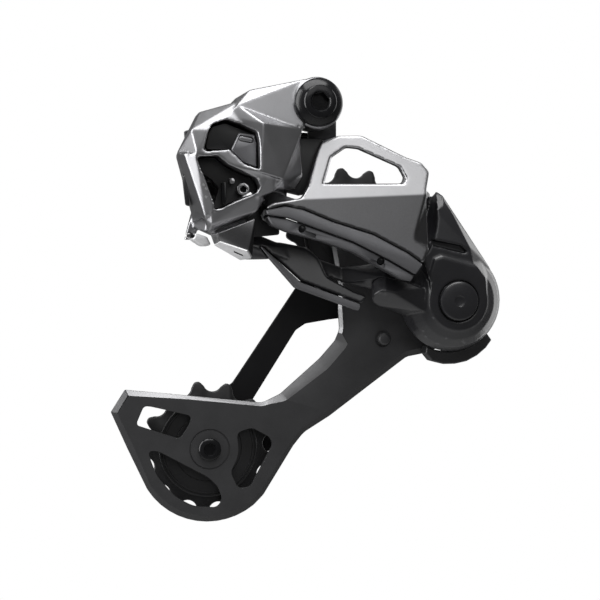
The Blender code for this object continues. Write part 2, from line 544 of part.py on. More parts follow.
# ---------------------------------------------------------------- links
def outer_link(finish, body):
    """The bright outboard link, with its window, its dark guard and its skid strip."""
    start = OUTER_PIN_START
    end = OUTER_PIN_END
    lean = 0.25
    level = (0.0, -48.0)
    front = end.y - LINK_STANDOFF
    wall = 3.2
    neck = end.x - 9.6
    outline = rounded([
        (-20.3, -40.2, 0.8), (-17.6, -38.6, 1), (-6.4, -36.9, 2), (-3.4, -32.0, 2), (0.8, -18.2, 1),
        (2.6, -14.4, 2), (9.8, -12.0, 3), (19.2, -11.8, 5)]
        + from_axis(end, [(-2.8, 22.8, 3), (3.4, 20.7, 3), (6.4, 17.1, 2), (4.6, 9.5, 1),
                          (4.4, -12.9, 2), (1.4, -19.3, 1), (-4.7, -15.0, 4)])
        + [(21.5, -50.9, 10), (6.0, -46.1, 10), (-6.0, -41.2, 6), (-13.0, -39.8, 3),
           (-19.8, -41.4, 0.6)])
    link = piece("outer_link", prism(outline, front, front + wall, lean, 0.0, level, edge=0.6),
                 finish["link"], body)
    rear_eye = hull(disc_points(along_pin(start, OUTER_EYE[0]), EYE_RADIUS - 0.3, PIN_AXIS)
                    + disc_points(along_pin(start, OUTER_EYE[1]), EYE_RADIUS - 0.3, PIN_AXIS)
                    + [(-8.0, front + 2.5, -37.5), (-8.0, front + 1.5, -40.4),
                       (-9.0, -7.4, -39.0), (-9.0, -7.4, -43.0)])
    front_eye = hull(disc_points(along_pin(end, OUTER_EYE[0]), EYE_RADIUS - 0.3, PIN_AXIS)
                     + disc_points(along_pin(end, OUTER_EYE[1]), EYE_RADIUS - 0.3, PIN_AXIS)
                     + [(neck, front + 2.5, end.z + 3.1), (neck, front + 1.5, end.z - 6.9),
                        (neck, -12.0, end.z + 3.1), (neck, -13.0, end.z - 6.9)])
    bar = hull([(-8.0, -15.0, -37.6), (-8.0, -15.6, -40.2), (neck + 1.0, -15.0, end.z + 6.1),
                (neck + 1.0, -16.5, end.z - 6.9), (12.0, -15.8, -45.0), (-8.0, -9.0, -38.0),
                (-8.0, -9.5, -41.0), (neck + 1.0, -11.0, end.z + 5.1),
                (neck + 1.0, -12.5, end.z - 6.9), (12.0, -11.0, -45.0), (12.0, -9.5, -38.0)])
    join(link, rear_eye, front_eye, bar)
    cut(link,
        prism(rounded([(3.2, -31.1, 1), (6.8, -20.7, 2), (12.7, -16.8, 2), (17.4, -17.2, 2)]
                      + from_axis(end, [(-6.3, 18.9, 2), (-4.2, 14.7, 1.5), (-5.2, 12.4, 1)])),
              -30.0, 5.0),
        rod(start, OUTER_EYE[0] - 1.0, OUTER_EYE[1] + 1.0, PIN_RADIUS + FIT, PIN_AXIS, 16),
        rod(end, OUTER_EYE[0] - 1.0, OUTER_EYE[1] + 1.0, PIN_RADIUS + FIT, PIN_AXIS, 16))

    guard = rounded([
        (-20.6, -41.7, 0.6), (-13.0, -40.2, 3), (-6.0, -41.6, 6), (6.0, -46.5, 10),
        (21.5, -51.3, 10)]
        + from_axis(end, [(-4.7, -15.4, 4), (1.0, -19.7, 0.8), (-2.2, -23.5, 1), (-12.5, -17.6, 5)])
        + [(13.4, -53.7, 8), (-1.0, -48.6, 8), (-12.0, -44.6, 5), (-20.2, -43.4, 0.5)])
    piece("outer_link_guard", prism(guard, front - 0.4, front + 4.2, lean, 0.0, level, edge=0.5),
          finish["guard"], body)
    cut(link, prism(widened(guard, FIT), front - 4.0, front + 4.2 + FIT, lean, 0.0, level))
    skid = rounded([
        (-20.2, -43.8, 0.5), (-12.0, -45.0, 5), (-1.0, -49.0, 8), (13.4, -54.1, 8)]
        + from_axis(end, [(-12.5, -18.0, 5), (-2.4, -23.9, 0.8), (-4.0, -26.2, 1), (-7.8, -25.2, 1)])
        + [(18.7, -60.7, 5), (13.8, -57.9, 5), (1.8, -53.8, 8), (-12.2, -50.0, 3),
           (-18.4, -47.4, 2)])
    strip = piece("outer_link_skid", prism(skid, front + 1.0, front + 9.0, lean, 0.0, level, edge=0.5),
                  finish["guard"], body)
    cut(link, prism(widened(skid, FIT), front - 4.0, front + 9.0 + FIT, lean, 0.0, level))
    for name, x, z in (("skid_screw_rear", -6.6, -48.9),
                       ("skid_screw_front", end.x - 15.6, end.z - 18.3)):
        cut(strip, rod((x, 0.0, z), front - 3.0, front + 2.2, 1.6, steps=12))
        piece(name, rod((x, 0.0, z), front + lean * (z - level[1]) + 1.9, front + 1.9, 1.2, steps=12),
              finish["bolt"], body, smooth=True)


def inner_link(finish, body):
    """The dark inboard link and its lower cover."""
    start = INNER_PIN_START
    end = INNER_PIN_END
    neck = end.x - 17.8
    low = end.z - 15.2
    high = end.z - 9.4
    web = rounded([
        (-19.5, -53.8, 1), (-12.0, -54.0, 2), (-1.5, -56.0, 2), (2.6, -60.0, 2), (5.6, -67.6, 4)]
        + from_axis(end, [(-14.8, -18.6, 4), (-9.2, -20.6, 1), (-12.2, -23.4, 0.8)])
        + [(-4.6, -69.3, 2), (-19.5, -55.2, 0.5)])
    link = piece("inner_link", prism(web, -5.0, -1.5, 0.25, -0.12, (0.0, -62.0), edge=0.4),
                 finish["dark"], body)
    rear_eye = hull(disc_points(along_pin(start, INNER_REAR_EYE[0]), EYE_RADIUS - 0.3, PIN_AXIS)
                    + disc_points(along_pin(start, INNER_REAR_EYE[1]), EYE_RADIUS - 0.3, PIN_AXIS)
                    + [(-10.0, -2.2, -55.5), (-10.0, -3.6, -60.5), (-10.0, 2.5, -55.5),
                       (-10.0, 0.5, -60.5)])
    front_eye = hull(disc_points(along_pin(end, INNER_FRONT_EYE[0]), EYE_RADIUS - 0.3, PIN_AXIS)
                     + disc_points(along_pin(end, INNER_FRONT_EYE[1]), EYE_RADIUS - 0.3, PIN_AXIS)
                     + [(neck - 1.0, -6.0, low), (neck - 1.0, -4.0, high), (neck - 1.0, 0.0, high),
                        (neck - 1.0, -3.0, low)])
    bar = hull([(-10.5, -2.2, -55.8), (-10.5, -3.6, -60.2), (-10.5, 2.3, -55.8), (-10.5, 0.3, -60.2),
                (neck, -6.0, low), (neck, -4.0, high), (neck, 0.0, high), (neck, -3.0, low)])
    join(link, rear_eye, front_eye, bar)
    cut(link,
        rod(start, INNER_REAR_EYE[0] - 1.0, INNER_REAR_EYE[1] + 1.0, PIN_RADIUS + FIT, PIN_AXIS, 16),
        rod(end, INNER_FRONT_EYE[0] - 1.0, INNER_FRONT_EYE[1] + 1.0, PIN_RADIUS + FIT, PIN_AXIS, 16))
    cover = rounded([
        (-20.4, -55.7, 0.5), (-19.4, -55.7, 0.5), (-4.9, -69.8, 2)]
        + from_axis(end, [(-12.5, -23.8, 0.8), (-13.6, -26.3, 0.8)]) + [(-6.9, -72.1, 2)])
    piece("inner_link_cover", prism(cover, -6.0, -1.0, 0.25, -0.12, (0.0, -62.0), edge=0.4),
          finish["guard"], body)
    cut(link, prism(widened(cover, FIT), -10.0, -1.0 + FIT, 0.25, -0.12, (0.0, -62.0)))


# ---------------------------------------------------------------- p-knuckle
def front_knuckle(finish, body):
    """The dark housing round the cage axle, its arm, its lobe and what it holds."""
    hub = P_AXIS
    outer = OUTER_PIN_END
    inner = INNER_PIN_END
    housing = piece("front_knuckle_housing", turned([
        (P_FRONT, 0.0), (P_FRONT, P_RIM_RADIUS - 0.8), (P_FRONT + 0.8, P_RIM_RADIUS),
        (-12.5, 15.6), (-9.0, 18.6), (P_WIDEST, P_BODY_RADIUS), (-1.0, P_BODY_RADIUS - 0.6),
        (P_BACK, P_BODY_RADIUS - 3.0), (P_BACK, 0.0)], hub, steps=48), finish["dark"], body)
    arm = hull([(hub.x + x, y, hub.z + z) for x, y, z in (
        (-10.6, -8.5, 46.9), (-5.2, -7.5, 43.2), (-12.2, -12.0, 40.0), (-1.9, -11.0, 35.7),
        (-12.4, -14.5, 24.8), (4.6, -14.0, 21.8), (11.4, -9.0, 17.3), (16.4, -6.0, 12.5),
        (-16.5, -14.0, 24.0), (-12.0, -15.0, 8.0), (-9.0, 1.5, 44.0), (0.4, -1.0, 35.0),
        (-12.0, 3.5, 24.0), (6.5, 3.5, 23.9), (16.0, 3.5, 12.0), (-12.0, 4.5, 6.0),
        (8.0, -14.5, 6.0))])
    upper_lug = hull(disc_points(along_pin(outer, OUTER_EYE[1] + FIT), EYE_RADIUS - 0.9, PIN_AXIS)
                     + disc_points(along_pin(outer, FRONT_LUG_TOP), EYE_RADIUS - 0.9, PIN_AXIS)
                     + [(hub.x - 10.0, 2.0, hub.z + 40.0), (hub.x - 10.0, 2.5, hub.z + 26.0),
                        (hub.x - 8.0, -2.0, hub.z + 43.0)])
    lobe = hull(disc_points(along_pin(inner, INNER_FRONT_EYE[0] + 1.0), EYE_RADIUS, PIN_AXIS)
                + disc_points(along_pin(inner, LOBE_FOOT), EYE_RADIUS, PIN_AXIS)
                + [(hub.x - 14.0, -14.0, hub.z + 5.0), (hub.x - 14.0, -14.0, hub.z - 4.0),
                   (hub.x - 14.0, -4.0, hub.z + 5.0), (hub.x - 14.0, -4.0, hub.z - 8.0)])
    join(housing, arm, solver="MANIFOLD")
    cut(housing, rod(outer, -26.0, 40.0, EYE_RADIUS + 4.6, PIN_AXIS, 32),
        outboard_relief(outer, (2.5, 14.0), EYE_RADIUS + 7.2), solver="MANIFOLD")
    join(housing, upper_lug, lobe, solver="MANIFOLD")
    cut(housing,
        rod(inner, INNER_FRONT_EYE[0] - FIT, 6.0, EYE_RADIUS + 0.7, PIN_AXIS),
        rod(outer, -2.0, FRONT_LUG_TOP - 1.5, PIN_RADIUS + FIT, PIN_AXIS, 16),
        rod(inner, LOBE_FOOT + 1.5, INNER_FRONT_EYE[1], PIN_RADIUS + FIT, PIN_AXIS, 16),
        turned([(P_FRONT - 1.0, 0.0), (P_FRONT - 1.0, P_CAP_RADIUS + FIT),
                (P_FRONT + 3.0, P_CAP_RADIUS + FIT), (P_FRONT + 3.0, P_SPRING_RADIUS + 2.9),
                (P_BACK + 1.0, P_SPRING_RADIUS + 2.9), (P_BACK + 1.0, 0.0)], hub, steps=32),
        solver="MANIFOLD")
    piece("front_knuckle_cap", turned([
        (P_FRONT - 1.5, 0.0), (P_FRONT - 1.5, 2.2), (P_FRONT - 1.5, P_CAP_RADIUS - 0.6),
        (P_FRONT - 0.9, P_CAP_RADIUS), (P_FRONT + 2.6, P_CAP_RADIUS), (P_FRONT + 2.6, 0.0)],
        hub, steps=32), finish["dark"], body, smooth=True)
    coil_span = (P_FRONT + 5.5, P_BACK - 1.5)
    piece("cage_spring", coil(hub, coil_span, P_SPRING_RADIUS, SPRING_WIRE_RADIUS, SPRING_TURNS),
          finish["steel"], body, smooth=True)
    piece("axle_sleeve", ring(hub, P_FRONT + 4.0, P_FRONT + 11.0, P_AXLE_RADIUS + FIT,
                              P_AXLE_RADIUS + 1.4, steps=24), finish["resin"], body, smooth=True)
    piece("knuckle_seal", ring(hub, P_BACK + FIT, P_BACK + FIT + SEAL_THICKNESS, P_SPRING_RADIUS + 3.4,
                               P_BODY_RADIUS - 4.5, steps=32), finish["seal"], body, smooth=True)
    near = P_BODY_RADIUS + FIT
    far = P_BODY_RADIUS + FIT + SKIRT_DEPTH
    sector = [(far - 2.4, -114), (far - 0.3, -106), (far, -95), (far, -84), (far, -73), (far - 0.4, -62),
              (far - 0.9, -51), (far - 1.6, -42), (near, -40)]
    sector += [(near, angle) for angle in (-51, -62, -73, -84, -95, -106, -116)]
    skirt = [(hub.x + radius * math.cos(math.radians(angle)), hub.z + radius * math.sin(math.radians(angle)))
             for radius, angle in sector]
    piece("knuckle_skirt", prism(skirt, -2.0, P_BACK + 0.5, edge=0.4), finish["resin"], body)
    piece("front_outer_pin", rod(outer, OUTER_EYE[0], FRONT_LUG_TOP - 1.8, PIN_RADIUS, PIN_AXIS, 16),
          finish["steel"], body, smooth=True)
    piece("front_inner_pin", rod(inner, LOBE_FOOT + 1.8, INNER_FRONT_EYE[1], PIN_RADIUS, PIN_AXIS, 16),
          finish["steel"], body, smooth=True)


# ---------------------------------------------------------------- cage
def cage(finish, body):
    """The two plates, the axle, the stop pin and the wheel bolts, which swing together."""
    hub = P_AXIS
    low = TENSION_AXIS
    high = GUIDE_AXIS
    outline = rounded(
        from_axis(low, [(-39.3, 15.6, 0.8), (-33.6, 24.4, 0.8), (-8.6, 21.6, 8), (21.8, 18.1, 6),
                        (29.1, 21.6, 6)])
        + from_axis(hub, [(-51.9, -23.9, 20), (-45.5, -16.7, 5), (-43.6, -12.2, 5),
                          (-44.2, -3.7, 12)])
        + from_axis(high, [(-6.0, -22.0, 8), (-9.5, -2.0, 6), (-4.0, 9.0, 8), (8.0, 8.0, 8)])
        + from_axis(hub, [(-12.0, 16.0, 10), (4.0, 17.0, 10), (16.0, 8.0, 10), (17.0, -8.0, 10),
                          (5.0, -18.0, 10), (-9.2, -22.5, 8), (-15.4, -23.6, 6), (-47.8, -47.3, 10)])
        + from_axis(low, [(38.6, 5.7, 6), (34.3, 0.4, 8), (21.7, -18.8, 4), (19.3, -22.4, 5),
                          (7.4, -28.9, 16), (-0.7, -29.8, 16), (-13.5, -25.7, 14),
                          (-21.1, -19.8, 12), (-25.1, -14.1, 12), (-32.7, 0.9, 20)]))
    outer = piece("cage_outer_plate", prism(outline, CAGE_OUTER_FACE, CAGE_OUTER_BACK, edge=0.7),
                  finish["plate"], body)
    bolt_hole = PULLEY_BOLT_RADIUS + FIT
    cut(outer,
        prism(rounded(from_axis(low, [(-28.4, 12.8, 1), (-26.5, 16.7, 1.5), (-23.4, 17.5, 1.5),
                                      (-8.6, 13.9, 1.2), (-7.0, 12.1, 1), (-11.1, 5.2, 1.2),
                                      (-13.5, 4.6, 1), (-27.6, 9.8, 1)])), 0.0, 12.0),
        prism(rounded(from_axis(low, [(-24.0, -0.7, 1), (-21.4, -0.2, 1.5), (-0.6, -11.2, 3),
                                      (3.0, -15.0, 3), (4.6, -19.5, 2), (2.4, -23.0, 2),
                                      (-5.7, -22.7, 8), (-13.5, -18.8, 10), (-21.1, -9.8, 10)])),
              0.0, 12.0),
        prism(rounded(from_axis(low, [(11.1, 5.8, 2), (16.0, 7.9, 3), (23.6, 4.3, 3), (25.2, 1.1, 2),
                                      (16.7, -14.8, 3), (12.3, -15.7, 2), (8.9, -9.5, 3),
                                      (11.7, -2.3, 8)])), 0.0, 12.0),
        rod(hub, 0.0, 12.0, P_AXLE_RADIUS - 1.2 + FIT), rod(low, 0.0, 12.0, bolt_hole, steps=16),
        rod(high, 0.0, 12.0, bolt_hole, steps=16),
        rod(hub + Vector((STOP_PIN_OFFSET[0], 0.0, STOP_PIN_OFFSET[1])), 0.0, 12.0,
            STOP_PIN_RADIUS - 0.8 + FIT, steps=16))

    inner_outline = rounded(
        from_axis(high, [(-8.5, -3.0, 5), (-6.0, 7.0, 6), (6.0, 8.0, 6)])
        + from_axis(hub, [(-6.0, 13.0, 8), (10.0, 10.0, 10), (12.0, -8.0, 10), (-6.0, -17.0, 8)])
        + from_axis(low, [(34.0, 2.0, 10), (14.0, -10.0, 8), (2.0, -14.0, 8), (-12.0, -8.0, 8),
                          (-13.0, 8.0, 8), (11.1, 25.5, 3)]))
    inner = piece("cage_inner_plate", prism(inner_outline, CAGE_INNER_FACE, CAGE_INNER_BACK, edge=0.3),
                  finish["inner_plate"], body)
    cut(inner,
        prism(rounded(from_axis(low, [(18.6, 17.4, 2), (37.3, 46.8, 3)])
                      + from_axis(hub, [(-55.9, -10.1, 3), (-46.0, -8.5, 3), (-24.0, -6.0, 6),
                                        (-26.0, -20.0, 6)])
                      + from_axis(low, [(28.0, 8.0, 6)])), CAGE_INNER_FACE - 5, CAGE_INNER_BACK + 5),
        rod(low, CAGE_INNER_FACE - 5, CAGE_INNER_BACK + 5, bolt_hole, steps=16),
        rod(high, CAGE_INNER_FACE - 5, CAGE_INNER_BACK + 5, bolt_hole, steps=16))

    axle_back = CAGE_INNER_FACE - FIT
    axle = piece("cage_axle", turned([
        (P_FRONT + 3.4, 0.0), (P_FRONT + 3.4, P_AXLE_RADIUS), (CAGE_OUTER_FACE - FIT, P_AXLE_RADIUS),
        (CAGE_OUTER_FACE - FIT, P_AXLE_RADIUS - 1.2), (CAGE_OUTER_BACK + FIT, P_AXLE_RADIUS - 1.2),
        (CAGE_OUTER_BACK + FIT, P_AXLE_RADIUS + 1.5), (axle_back, P_AXLE_RADIUS + 1.5),
        (axle_back, 0.0)], hub, steps=24), finish["steel"], body, smooth=True)
    pin = hub + Vector((STOP_PIN_OFFSET[0], 0.0, STOP_PIN_OFFSET[1]))
    piece("stop_pin", turned([
        (CAGE_OUTER_FACE - 3.6, 0.0), (CAGE_OUTER_FACE - 3.6, STOP_PIN_RADIUS - 0.4),
        (CAGE_OUTER_FACE - 3.2, STOP_PIN_RADIUS), (CAGE_OUTER_FACE - FIT, STOP_PIN_RADIUS),
        (CAGE_OUTER_FACE - FIT, STOP_PIN_RADIUS - 0.8), (CAGE_OUTER_BACK, STOP_PIN_RADIUS - 0.8),
        (CAGE_OUTER_BACK, 0.0)], pin, steps=16), finish["steel"], body, smooth=True)
    for label, axis in (("tension", low), ("guide", high)):
        head = CAGE_OUTER_FACE - FIT
        bolt = piece(label + "_bolt", turned([
            (head - 1.6, 0.0), (head - 1.6, PULLEY_BOLT_HEAD_RADIUS - 0.5),
            (head - 1.1, PULLEY_BOLT_HEAD_RADIUS), (head, PULLEY_BOLT_HEAD_RADIUS),
            (head, PULLEY_BOLT_RADIUS), (CAGE_INNER_BACK - 0.2, PULLEY_BOLT_RADIUS),
            (CAGE_INNER_BACK - 0.2, 0.0)], axis, steps=20), finish["bolt"], body, smooth=True)
        cut(bolt, rod(axis, head - 3.0, head - 0.6, 1.7, steps=6))
        piece(label + "_sleeve", ring(axis, CAGE_OUTER_BACK + FIT, CAGE_INNER_FACE - FIT,
                                      PULLEY_BOLT_RADIUS + FIT, SLEEVE_RADIUS, steps=20),
              finish["steel"], body, smooth=True)


def chain_wheel(label, axis, finish, body):
    """One toothed wheel with its bearing and its two side shields."""
    pitch = math.tau / TOOTH_COUNT
    tooth = [(0.00, 0.0), (0.17, 0.12), (0.31, 0.55), (0.43, 1.0), (0.57, 1.0), (0.69, 0.55), (0.83, 0.12)]
    outline = []
    for index in range(TOOTH_COUNT):
        for share, rise in tooth:
            angle = (index + share) * pitch + math.radians(2.3)
            radius = ROOT_RADIUS + (TIP_RADIUS - ROOT_RADIUS) * rise
            outline.append((axis.x + radius * math.cos(angle), axis.z + radius * math.sin(angle)))
    half = WHEEL_WIDTH / 2
    wheel = piece(label + "_wheel", prism(outline, WHEEL_PLANE - half, WHEEL_PLANE + half),
                  finish["wheel"], body)
    cut(wheel, rod(axis, WHEEL_PLANE - 4, WHEEL_PLANE + 4, BEARING_RADIUS + FIT, steps=32))
    reach = half + FIT
    for side, start, end in (("outer", WHEEL_PLANE - reach - SHIELD_THICKNESS, WHEEL_PLANE - reach),
                             ("inner", WHEEL_PLANE + reach, WHEEL_PLANE + reach + SHIELD_THICKNESS)):
        piece(label + "_shield_" + side, ring(axis, start, end, BEARING_RADIUS + FIT, SHIELD_RADIUS,
                                              steps=40), finish["wheel"], body, smooth=True)
    piece(label + "_bearing", ring(axis, WHEEL_PLANE - BEARING_WIDTH / 2, WHEEL_PLANE + BEARING_WIDTH / 2,
                                   SLEEVE_RADIUS + FIT, BEARING_RADIUS, steps=32),
          finish["steel"], body, smooth=True)


def main():
    """Build every piece."""
    clear_scene()
    finish = finishes()
    mount = pivot("mount_frame", (0.0, 0.0, 0.0))
    rear = pivot("rear_knuckle_pivot", (0.0, 0.0, 0.0), mount)
    outer = pivot("outer_link_pivot", OUTER_PIN_START, rear)
    inner = pivot("inner_link_pivot", INNER_PIN_START, rear)
    front = pivot("front_knuckle_pivot", OUTER_PIN_END, outer)
    frame = pivot("cage_pivot", P_AXIS, front)
    guide = pivot("guide_wheel_pivot", GUIDE_AXIS, frame)
    tension = pivot("tension_wheel_pivot", TENSION_AXIS, frame)
    hanger_side(finish, mount)
    rear_knuckle(finish, rear)
    rear_knuckle_fittings(finish, rear)
    outer_link(finish, outer)
    inner_link(finish, inner)
    front_knuckle(finish, front)
    cage(finish, frame)
    chain_wheel("guide", GUIDE_AXIS, finish, guide)
    chain_wheel("tension", TENSION_AXIS, finish, tension)


main()
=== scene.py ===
"""Looks of a rear bicycle derailleur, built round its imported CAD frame.

Every size is in millimetres until a piece is placed, and every place is in the CAD's own frame:
+X to the front of the bicycle, +Y inboard, +Z up, the origin on the hanger bolt's axis.
"""
import json
import logging
import math
from collections.abc import Iterable, Sequence
from dataclasses import dataclass, field
from enum import Enum

import bmesh
import bpy
from mathutils import Matrix, Vector

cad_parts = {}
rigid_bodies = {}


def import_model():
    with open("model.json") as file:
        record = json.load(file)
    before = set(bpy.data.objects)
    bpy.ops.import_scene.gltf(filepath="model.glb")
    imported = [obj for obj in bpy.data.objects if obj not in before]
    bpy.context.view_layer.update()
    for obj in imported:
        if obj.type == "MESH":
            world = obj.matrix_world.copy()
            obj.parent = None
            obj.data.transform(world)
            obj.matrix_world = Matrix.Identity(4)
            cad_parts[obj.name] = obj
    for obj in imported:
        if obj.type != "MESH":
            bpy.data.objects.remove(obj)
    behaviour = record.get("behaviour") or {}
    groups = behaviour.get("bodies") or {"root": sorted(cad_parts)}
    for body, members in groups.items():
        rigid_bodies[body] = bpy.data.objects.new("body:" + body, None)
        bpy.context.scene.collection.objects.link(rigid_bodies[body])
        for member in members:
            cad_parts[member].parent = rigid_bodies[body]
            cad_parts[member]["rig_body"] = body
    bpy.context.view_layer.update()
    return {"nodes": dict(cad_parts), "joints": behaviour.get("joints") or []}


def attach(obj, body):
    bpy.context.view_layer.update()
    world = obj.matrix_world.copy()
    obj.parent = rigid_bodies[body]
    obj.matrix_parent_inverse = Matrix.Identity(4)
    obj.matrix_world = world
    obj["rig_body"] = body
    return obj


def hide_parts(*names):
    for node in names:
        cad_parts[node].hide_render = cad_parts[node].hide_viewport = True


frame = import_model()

log = logging.getLogger("derailleur")

MM = 0.001
Shape = bmesh.types.BMesh
Point = tuple[float, float]
Corner = tuple[float, float, float]
Colour = tuple[float, float, float]

JOINTS = {joint["name"]: joint for joint in frame["joints"]}
INBOARD = Vector((0.0, 1.0, 0.0))
ORIGIN = Vector((0.0, 0.0, 0.0))


def joint_place(name: str) -> Vector:
    """Where a joint's axis passes, in millimetres.

    Args:
        name: the joint's name in the record.

    Returns:
        The point.
    """
    return Vector(JOINTS[name]["pos_m"]) / MM


HUB = joint_place("cage_swing")
GUIDE = joint_place("guide_wheel_spin")
TENSION = joint_place("tension_wheel_spin")
PIN_WAY = Vector(JOINTS["outer_link_turn"]["axis"]).normalized()
OUTER_REAR = joint_place("outer_link_turn")

# Two places nearer than this lie on one level.
SAME_LEVEL = 1e-6
# The greatest turn, in degrees, of an edge that is cleared away.
FLAT_TURN = 0.6
# How a forged skin is made and shaded.
FORGE_GRAIN = 0.45
FORGE_ROUNDS = 4
FORGE_SMOOTH = 80.0
# The outer link's ridge in (x, z), below which its shade is painted: where it bends, and its slopes
# to the front and to the rear.
RIDGE_BEND = (-6.6, -37.1)
RIDGE_SLOPES = (0.0475, 0.18)
# How far below and above the ridge the painted shade blends in.
RIDGE_SHADE_BLEND = (-0.3, 0.9)
# The patches and flecks of every finish, per millimetre.
PATCH_SCALE = 0.11
FLECK_SCALE = 2.6
# The pointiness where an edge starts to get its wear and painted highlight, and where these are
# full.
WEAR_HIGHLIGHT_FROM, WEAR_HIGHLIGHT_FULL = 0.525, 0.60


# ------------------------------------------------------------------ shader writing
class Value:
    """A shader socket that takes part in sums, so that a mask reads as plain arithmetic."""

    def __init__(self, graph: "Graph", socket: bpy.types.NodeSocket) -> None:
        """Wrap a socket of a graph."""
        self.graph = graph
        self.socket = socket

    def _sum(self, operation: str, first: "Value | float", second: "Value | float") -> "Value":
        """Add one Math node.

        Args:
            operation: the node's operation.
            first: its first term.
            second: its second term.

        Returns:
            The result.
        """
        node = self.graph.node("ShaderNodeMath", {"operation": operation}, {0: first, 1: second})
        return Value(self.graph, node.outputs[0])

    def __add__(self, other: "Value | float") -> "Value":
        """self + other."""
        return self._sum("ADD", self, other)

    __radd__ = __add__

    def __sub__(self, other: "Value | float") -> "Value":
        """self - other."""
        return self._sum("SUBTRACT", self, other)

    def __rsub__(self, other: float) -> "Value":
        """other - self."""
        return self._sum("SUBTRACT", other, self)

    def __mul__(self, other: "Value | float") -> "Value":
        """self * other."""
        return self._sum("MULTIPLY", self, other)

    __rmul__ = __mul__

    def __truediv__(self, other: "Value | float") -> "Value":
        """self / other."""
        return self._sum("DIVIDE", self, other)

    def __rtruediv__(self, other: float) -> "Value":
        """other / self."""
        return self._sum("DIVIDE", other, self)

    def __pow__(self, power: float) -> "Value":
        """self to a power."""
        return self._sum("POWER", self, power)


class Graph:
    """The node tree of one material."""

    def __init__(self, name: str) -> None:
        """Make a material with an empty Principled shader."""
        self.material = bpy.data.materials.new(name)
        self.material.use_nodes = True
        self.tree = self.material.node_tree
        self.shader = self.tree.nodes["Principled BSDF"]

    def node(self, kind: str, settings: dict | None = None,
             sockets: dict | None = None) -> bpy.types.Node:
        """Add a node of any type.

        Args:
            kind: the node's type.
            settings: its own settings.
            sockets: a value or a link for each socket, by name or by place.

        Returns:
            The node.
        """
        made = self.tree.nodes.new(kind)
        for name, value in (settings or {}).items():
            setattr(made, name, value)
        for name, value in (sockets or {}).items():
            self.feed(made.inputs[name], value)
        return made

    def feed(self, socket: bpy.types.NodeSocket, value: object) -> None:
        """Link or set one socket."""
        if isinstance(value, Value):
            self.tree.links.new(value.socket, socket)
        elif isinstance(value, bpy.types.NodeSocket):
            self.tree.links.new(value, socket)
        else:
            socket.default_value = value

    def out(self, made: bpy.types.Node, name: str | int = 0) -> Value:
        """A node's output as a value."""
        return Value(self, made.outputs[name])

    def smooth_step(self, value: Value, low: float, high: float) -> Value:
        """A value eased from 0 at one level to 1 at another."""
        return self.out(self.node("ShaderNodeMapRange", {"interpolation_type": "SMOOTHSTEP"},
                                  {"Value": value, "From Min": low, "From Max": high}))

    def blend(self, share: Value | float, first: object, second: object) -> bpy.types.NodeSocket:
        """Mix two colours.

        Args:
            share: how much of the second, 0 to 1.
            first: a colour or a link.
            second: a colour or a link.

        Returns:
            The mixed colour's socket.
        """
        made = self.node("ShaderNodeMix", {"data_type": "RGBA"}, {0: share})
        for place, value in ((6, first), (7, second)):
            linked = isinstance(value, bpy.types.NodeSocket)
            self.feed(made.inputs[place], value if linked else (*value, 1.0))
        return made.outputs[2]


class Grain(Enum):
    """What a surface feels like up close."""

    BLASTED = "fine pits of a blasted and anodised casting"
    BRUSHED = "short lines along the piece"
    TURNED = "rings left by a lathe"
    MOULDED = "the soft grain of a moulding tool"


